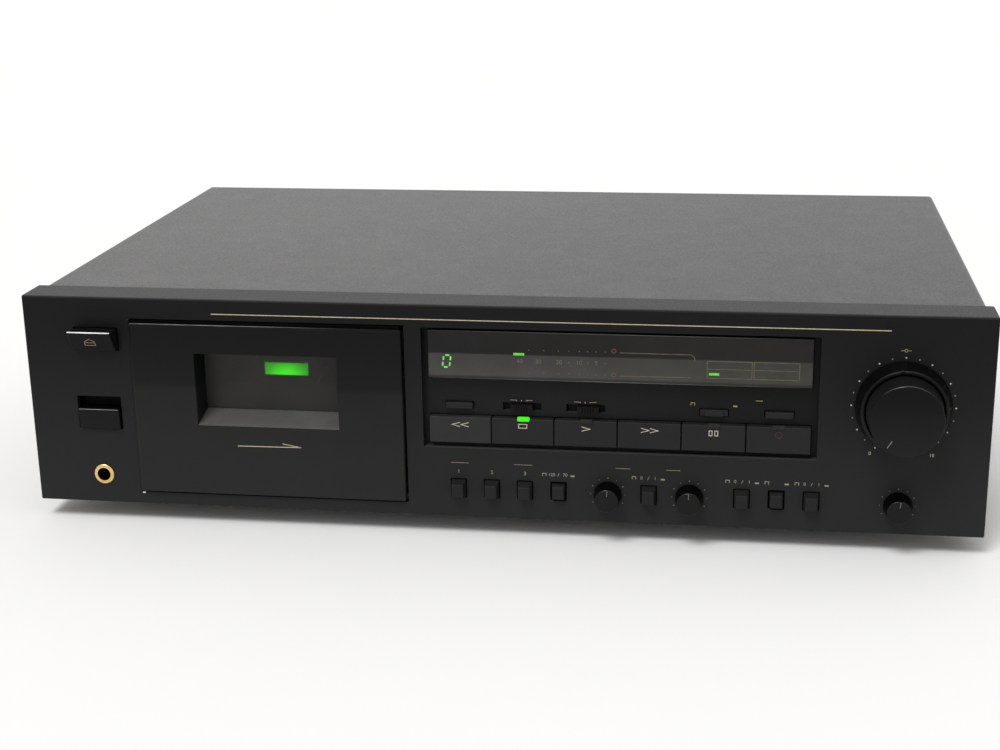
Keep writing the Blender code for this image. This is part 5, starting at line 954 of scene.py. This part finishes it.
def panel_marks():
    printed("panel_line", [stroke(GOLD_LINE, 0.4)], "deck", INKS["gold"])
    even = on_dial(RECORD_DIAL, RECORD_DOTS_REACH, np.arange(-150, 151, 30))
    odd = on_dial(RECORD_DIAL, RECORD_DOTS_REACH, np.arange(-135, 136, 30))
    marks = [dots(even, 0.36)] + [numeral(text, x, SCALE_ENDS_ROW, 1.5) for x, text in SCALE_ENDS]
    x, z = CENTRE_MARK
    faint = [dots(odd, 0.34), ring_line(x, z, 0.62, 0.34), bar(x - 2.2, x - 0.8, z, 0.3), bar(x + 0.8, x + 2.2, z, 0.3)]
    for centre in SMALL_DIALS:
        faint.append(dots(on_dial(centre, SMALL_DOTS_REACH, np.arange(-120, 121, 60)), 0.26))
        faint.append(dots(on_dial(centre, SMALL_DOTS_REACH, np.arange(-90, 91, 60)), 0.18))
    switch = []
    for left, right, first, second in SWITCH_MARKS:
        switch += [out_mark(left, SWITCH_ROW), in_mark(right, SWITCH_ROW)]
        middle, reach = (left + right) / 2, (right - left) / 2
        if first:
            switch.append(numeral(first, middle - reach * 0.48, SWITCH_ROW, 1.5))
            switch.append(numeral(second, middle + reach * 0.48, SWITCH_ROW, 1.5))
            switch.append(stroke([(middle - 0.35, SWITCH_ROW - 0.8), (middle + 0.35, SWITCH_ROW + 0.8)], 0.22))
    switch += [numeral(text, x, SWITCH_ROW, 1.7) for x, text in TAPE_NUMBERS]
    faint += [bar(left, right, DASH_ROW, 0.26) for left, right in DASHES]
    printed("panel_marks", marks, "deck", INKS["cream"])
    printed("switch_marks", switch, "deck", INKS["dim"])
    printed("panel_faint_marks", faint, "deck", INKS["faint"])
    printed("panel_chip", [patch(-166.0, 5.6, 1.3, 0.6)], "deck", INKS["chip"])


def bay_marks():
    """Marks on the sunk floor of the control bay, beside its small buttons and slides."""
    marks = [out_mark(89.4, 56.7), in_mark(107.95, 56.6), bar(116.8, 119.8, 59.05, 0.3)]
    for middle in (13.15, 41.8):
        for side in (-1, 1):
            marks.append(stroke([(middle + side * 2.0, 55.9), (middle + side * 5.0, 56.0)], 0.22))
            marks.append(patch(middle + side * 2.2, 55.8, 0.45, 0.6))
        marks.append(patch(middle, 55.75, 0.4, 0.6))
    printed("bay_marks", marks, "deck", INKS["brown"], BEZEL_FACE)


def door_arrow():
    """The way that the tape runs: a long line with one barb."""
    shaft = stroke([(-118.3, 31.1), (-88.3, 31.35)], 0.38)
    barb = stroke([(-97.0, 32.9), (-88.6, 31.4)], 0.34)
    printed("door_arrow", [shaft, barb], "door", INKS["gold"], DOOR_FACE)


def eject_mark():
    """The eject button's symbol, a low roof over a bar."""
    roof = stroke([(-186.2, 80.5), (-183.5, 82.0), (-181.1, 80.5)], 0.32, eject_face)
    printed("eject_mark", [roof, hollow(-183.8, 79.3, 5.0, 1.5, 0.32, eject_face)], "eject", INKS["brown"])


# Painted highlights along edges, and strips in the door's gaps

# Each highlight bead's node, body, half length, height, radius and ink, and how far the lens's beads lie within it
POWER_HIGH = 46.9
HIGHLIGHT_BEADS = (
    ("eject_button", "eject", 10.0, EJECT_HIGH, 0.36, "edge"),
    ("power_button", "power", 9.4, POWER_HIGH - 0.35, 0.16, "dull edge"),
    ("cassette_door", "door", 62.6, DOOR_TOP + 0.1, 0.2, "fading edge"),
)
LENS_INSET = (2.7, 2.45)


def front_edges():
    """Painted highlights: beads along the upper front edges of the eject and power buttons and the door, and along the
    lens's two edges.
    """
    for node, body, half, top, radius, finish in HIGHLIGHT_BEADS:
        middle, front = middle_of(node)[0], drawn_box(node)[0][1]
        highlight_bead(node + "_edge", middle - half, middle + half, front + radius, top, radius, body, INKS[finish])
    low, high = drawn_box("display_window")
    ends = low[0] + LENS_INSET[0], high[0] - LENS_INSET[0]
    for name, z in (("lens_top_edge", high[2] - LENS_INSET[1]), ("lens_foot_edge", low[2] + LENS_INSET[1])):
        highlight_bead(name, *ends, low[1] + 0.2, z, 0.2, "deck", INKS["dark edge"])


def door_gap_strips():
    """A black strip on top of the door, painted shade for the gap above it, and a strip that narrows its side gap."""
    low, high = drawn_box("cassette_door")
    strip = (low[0] + 1.0, low[1] + 1.1, high[2] - 0.1), (high[0] - 1.0, high[1] - 9.4, high[2] + 1.5)
    block("door_top_shade_strip", *strip, "door", FELT_AND_SHADE)
    side = (low[0] - 0.98, 0.02, 6.2), (low[0] - 0.35, 2.0, high[2] + 1.8)
    block("door_side_strip", *side, "deck", FINISHES["panel_black"])


# Cards behind the slides: each slide's distance from its card's middle, and the cards' half width, thickness and gap
CARD_OFFSETS = {"memory_slide": 0.0, "timer_slide": 1.2}
CARD_HALF = 9.2
CARD_THICK = 0.25
CARD_GAP = 0.1


def slide_backs():
    """A black card behind each slide's slot, on the front of its switch."""
    for node, offset in CARD_OFFSETS.items():
        low, high = drawn_box(node)
        middle, near = middle_of(node)[0] - offset, high[1] + CARD_GAP
        corners = (middle - CARD_HALF, near, low[2]), (middle + CARD_HALF, near + CARD_THICK, high[2])
        block(node + "_card", *corners, "deck", FELT_AND_SHADE)


# The rear: its sockets' places and tints, its screws' places, and the sizes of plate, collars and screws
SOCKETS = [(x, z, tint) for x, tint in ((-172.5, "white"), (-157.5, "red")) for z in (32.5, 47.5)]
REAR_SCREWS = [(x, z) for x in (-204.0, 204.0) for z in (10.0, 90.0)] + [(-68.0, 90.0), (68.0, 90.0)]
PLATE_MARGIN = 3.0
COLLAR_BORE, COLLAR_FOOT, COLLAR_RIM = 4.22, 6.1, 5.7
SCREW_RADIUS, SCREW_FLAT = 2.9, 1.3


def rear_fittings():
    """On the rear: an insulating plate with a coloured collar about each line socket, and domed screws at the edges."""
    low, high = drawn_box("line_sockets")
    foot = low[0] - PLATE_MARGIN, REAR_FACE - 0.1, low[2] - PLATE_MARGIN
    top = high[0] + PLATE_MARGIN, REAR_FACE + 0.8, high[2] + PLATE_MARGIN
    block("socket_plate", foot, top, "deck", FELT_AND_SHADE)
    near, far = REAR_FACE + 0.7, REAR_FACE + 2.2
    collar = [(COLLAR_BORE, far), (COLLAR_BORE, near), (COLLAR_FOOT, near), (COLLAR_RIM, far)]
    for number, (x, z, tint) in enumerate(SOCKETS, 1):
        turned(f"socket_collar_{number}", collar, [0.15, 0.0, 0.0, 0.4], (x, z), "deck", COLLARS[tint], True)
    near, edge, far = REAR_FACE - 0.1, REAR_FACE + 0.7, REAR_FACE + 1.6
    screw = [(0.0, near), (SCREW_RADIUS, near), (SCREW_RADIUS, edge), (SCREW_FLAT, far), (0.0, far)]
    for number, place in enumerate(REAR_SCREWS, 1):
        turned(f"rear_screw_{number}", screw, [0.0, 0.0, 0.4, 0.5, 0.0], place, "deck", INKS["dark edge"])


# Marks and lamps of the keys

LAMPS = (("stop", 14.25, "lamp"), ("play", 42.6, "dark"), ("pause", 98.9, "dark"), ("record", 127.0, "dark"))
LAMP_HALF = (2.7, 0.9, 0.9)
LAMP_POWER = 0.22


def chevron(tip, foot, z):
    """An open arrowhead from its foot to its tip."""
    return stroke([(foot, z + 1.0), (tip, z), (foot, z - 1.0)], 0.3, key_face)


def key_marks():
    """The transport symbols on the keys' leaning faces, the record key's red ring, and the lamps over four keys."""
    symbols = {
        "rewind": [chevron(-18.2, -14.6, 44.25), chevron(-14.2, -10.7, 44.25)],
        "stop": [hollow(13.87, 44.4, 3.7, 1.8, 0.35, key_face)],
        "play": [chevron(44.0, 40.4, 44.05)],
        "forward": [chevron(70.4, 66.8, 44.35), chevron(74.4, 70.8, 44.35)],
        "pause": [hollow(x, 44.05, 1.3, 2.2, 0.34, key_face) for x in (97.5, 100.0)],
    }
    for body, marks in symbols.items():
        printed(body + "_mark", marks, body, INKS["cream"])
    printed("record_mark", [ring_line(127.2, 44.2, 1.4, 0.34, key_face)], "record", INKS["red"])
    for body, x, glow in LAMPS:
        piece(body + "_lamp", *lens((x, 1.0, 47.75), LAMP_HALF, LAMP_POWER), body, GLOWS[glow])


# Display: its lit segments and its print with a painted glow, drawn on the tube's front and brought forward to the
# lens's face

SCALE_NUMBERS = ((11.8, "40"), (20.2, "30"), (29.5, "20"), (38.5, "10"), (46.2, "5"))
SCALE_TICKS = (16.0, 22.7, 29.3, 34.0, 38.7, 42.4, 46.2, 50.2)
DIGIT_LEAN = 0.14


def digit_zero(x, z, width, height):
    """A lit zero of six slanting strokes: the place (u, v) lies at x + (u w + lean v h) / 2 and z + v h / 2."""

    def place(u, v):
        return x + (u * width + DIGIT_LEAN * v * height) / 2, z + v * height / 2

    marks = []
    for v in (-1, 1):
        marks.append(stroke([place(-0.56, v), place(0.56, v)], 0.7))
        for u in (-1, 1):
            marks.append(stroke([place(u, 0.17 * v), place(u, 0.80 * v)], 0.72))
    return marks


def shown(name, marks, glow):
    """A piece of marks brought from the tube's front to the lens's face, along the lines to the camera.

    A point p goes to e + s (p - e), where e is the camera's place and s the lens's share of the way to the tube.
    """
    eye = np.array(CAMERA_PLACE)
    share = (LENS_FACE - eye[1]) / (TUBE_FACE - eye[1])
    forward = [(eye + share * (points + (0.0, TUBE_FACE, 0.0) - eye), faces) for points, faces in marks]
    printed(name, forward, "deck", GLOWS[glow])


def display_print():
    """What shows in the lens: the counter's digit, two lit bars, and the faint print of the scales and boxes with a
    painted glow.
    """
    shown("display_digit", digit_zero(-21.45, 71.65, 3.2, 5.6), "digit")
    shown("display_bars", [patch(11.45, 75.8, 4.9, 1.1), patch(98.3, 69.0, 4.5, 1.1)], "green")
    marks = [numeral(text, x, 72.5, 2.0) for x, text in SCALE_NUMBERS]
    marks += [dots([(x, z) for x in SCALE_TICKS], 0.25) for z in (77.8, 67.2)]
    marks.append(dots([(x, 72.5) for x in (34.0, 42.4, 50.2)], 0.3))
    marks.append(stroke([(56.7, 77.7), (88.0, 77.6), (89.7, 76.4), (89.7, 74.7)], 0.3))
    marks.append(stroke([(56.7, 66.9), (88.0, 67.1)], 0.3))
    for left, right in ((95.2, 114.8), (115.7, 135.4)):
        marks.append(hollow((left + right) / 2, 71.05, right - left, 7.8, 0.3))
        marks.append(bar(left, right, 71.3, 0.26))
    shown("display_scales", marks, "print")
    shown("display_zeros", [ring_line(54.0, z, 0.9, 0.4) for z in (78.4, 67.2)], "zero")


def quiet_glows():
    """Keeps the small glows in sight, but out of the light and mirror images on the faces close beside them."""
    for item in bpy.context.scene.objects:
        if item.type == "MESH" and item.active_material in GLOWS.values():
            item.visible_diffuse = item.visible_glossy = False


# Studio: a camera where the photograph was taken, a pale floor and soft light

CAMERA_PLACE = (111.9, -698.0, 286.7)
CAMERA_YAW = -0.1532
CAMERA_PITCH = 0.2997
CAMERA_ROLL = -0.0163
CAMERA_LENS = 59.89
FLOOR_REACH = 9.0
SKY_LEVEL = 0.62
SUN_LEVEL = 1.6
SUN_SPREAD = 24.0
SUN_TILT = (30.0, -14.0)


def camera():
    """Looks along (sin yaw cos pitch, cos yaw cos pitch, -sin pitch), then rolls about that line."""
    side, front, fall = math.sin(CAMERA_YAW), math.cos(CAMERA_YAW), math.cos(CAMERA_PITCH)
    ahead = Vector((side * fall, front * fall, -math.sin(CAMERA_PITCH)))
    right = Matrix.Rotation(-CAMERA_ROLL, 3, ahead) @ Vector((front, -side, 0.0))
    up = right.cross(ahead)
    data = bpy.data.cameras.new("photo_camera")
    data.lens, data.sensor_width = CAMERA_LENS, 36.0
    data.clip_start, data.clip_end = 0.01, 100.0
    eye = bpy.data.objects.new("photo_camera", data)
    bpy.context.scene.collection.objects.link(eye)
    turn = Matrix((right, up, -ahead)).transposed().to_4x4()
    eye.matrix_world = Matrix.Translation(Vector(in_row(CAMERA_PLACE))) @ turn
    bpy.context.scene.camera = eye


def floor():
    """A round pale floor, flat at the height that the feet stand on."""
    angle = around(64)
    rim = np.stack([FLOOR_REACH * np.cos(angle), FLOOR_REACH * np.sin(angle), 0 * angle], -1)
    mesh = bpy.data.meshes.new("floor")
    mesh.from_pydata(rim.tolist(), [], [list(range(len(rim)))])
    item = bpy.data.objects.new("floor", mesh)
    bpy.context.scene.collection.objects.link(item)
    mesh.materials.append(pale_ground("pale_floor"))


def studio():
    """White surroundings where they are seen, mirrored or seen through, and an even sky and one broad sun for light."""
    scene = bpy.context.scene
    world = bpy.data.worlds.new("studio")
    scene.world = world
    world.use_nodes = True
    tree = world.node_tree
    tree.nodes.clear()
    rays = add(tree, "ShaderNodeLightPath").outputs
    seen = maths(tree, "MAXIMUM", rays["Is Camera Ray"], rays["Is Glossy Ray"])
    seen = maths(tree, "MAXIMUM", seen, rays["Is Transmission Ray"])
    light = add(tree, "ShaderNodeBackground", {"Color": (1.0, 0.99, 0.97), "Strength": SKY_LEVEL})
    white = add(tree, "ShaderNodeBackground", {"Color": (1.0, 1.0, 1.0), "Strength": 1.0})
    mixed = add(tree, "ShaderNodeMixShader", {0: seen, 1: light.outputs[0], 2: white.outputs[0]})
    add(tree, "ShaderNodeOutputWorld", {"Surface": mixed.outputs[0]})
    lamp = bpy.data.lights.new("soft_sun", "SUN")
    lamp.energy, lamp.angle = SUN_LEVEL, math.radians(SUN_SPREAD)
    sun = bpy.data.objects.new("soft_sun", lamp)
    scene.collection.objects.link(sun)
    sun.rotation_euler = (math.radians(SUN_TILT[0]), math.radians(SUN_TILT[1]), 0.0)
    scene.view_settings.view_transform = "Standard"


camera()
studio()
floor()
dress_frame()
small_knobs()
record_level()
panel_marks()
bay_marks()
door_arrow()
eject_mark()
front_edges()
door_gap_strips()
slide_backs()
rear_fittings()
key_marks()
display_print()
quiet_glows()
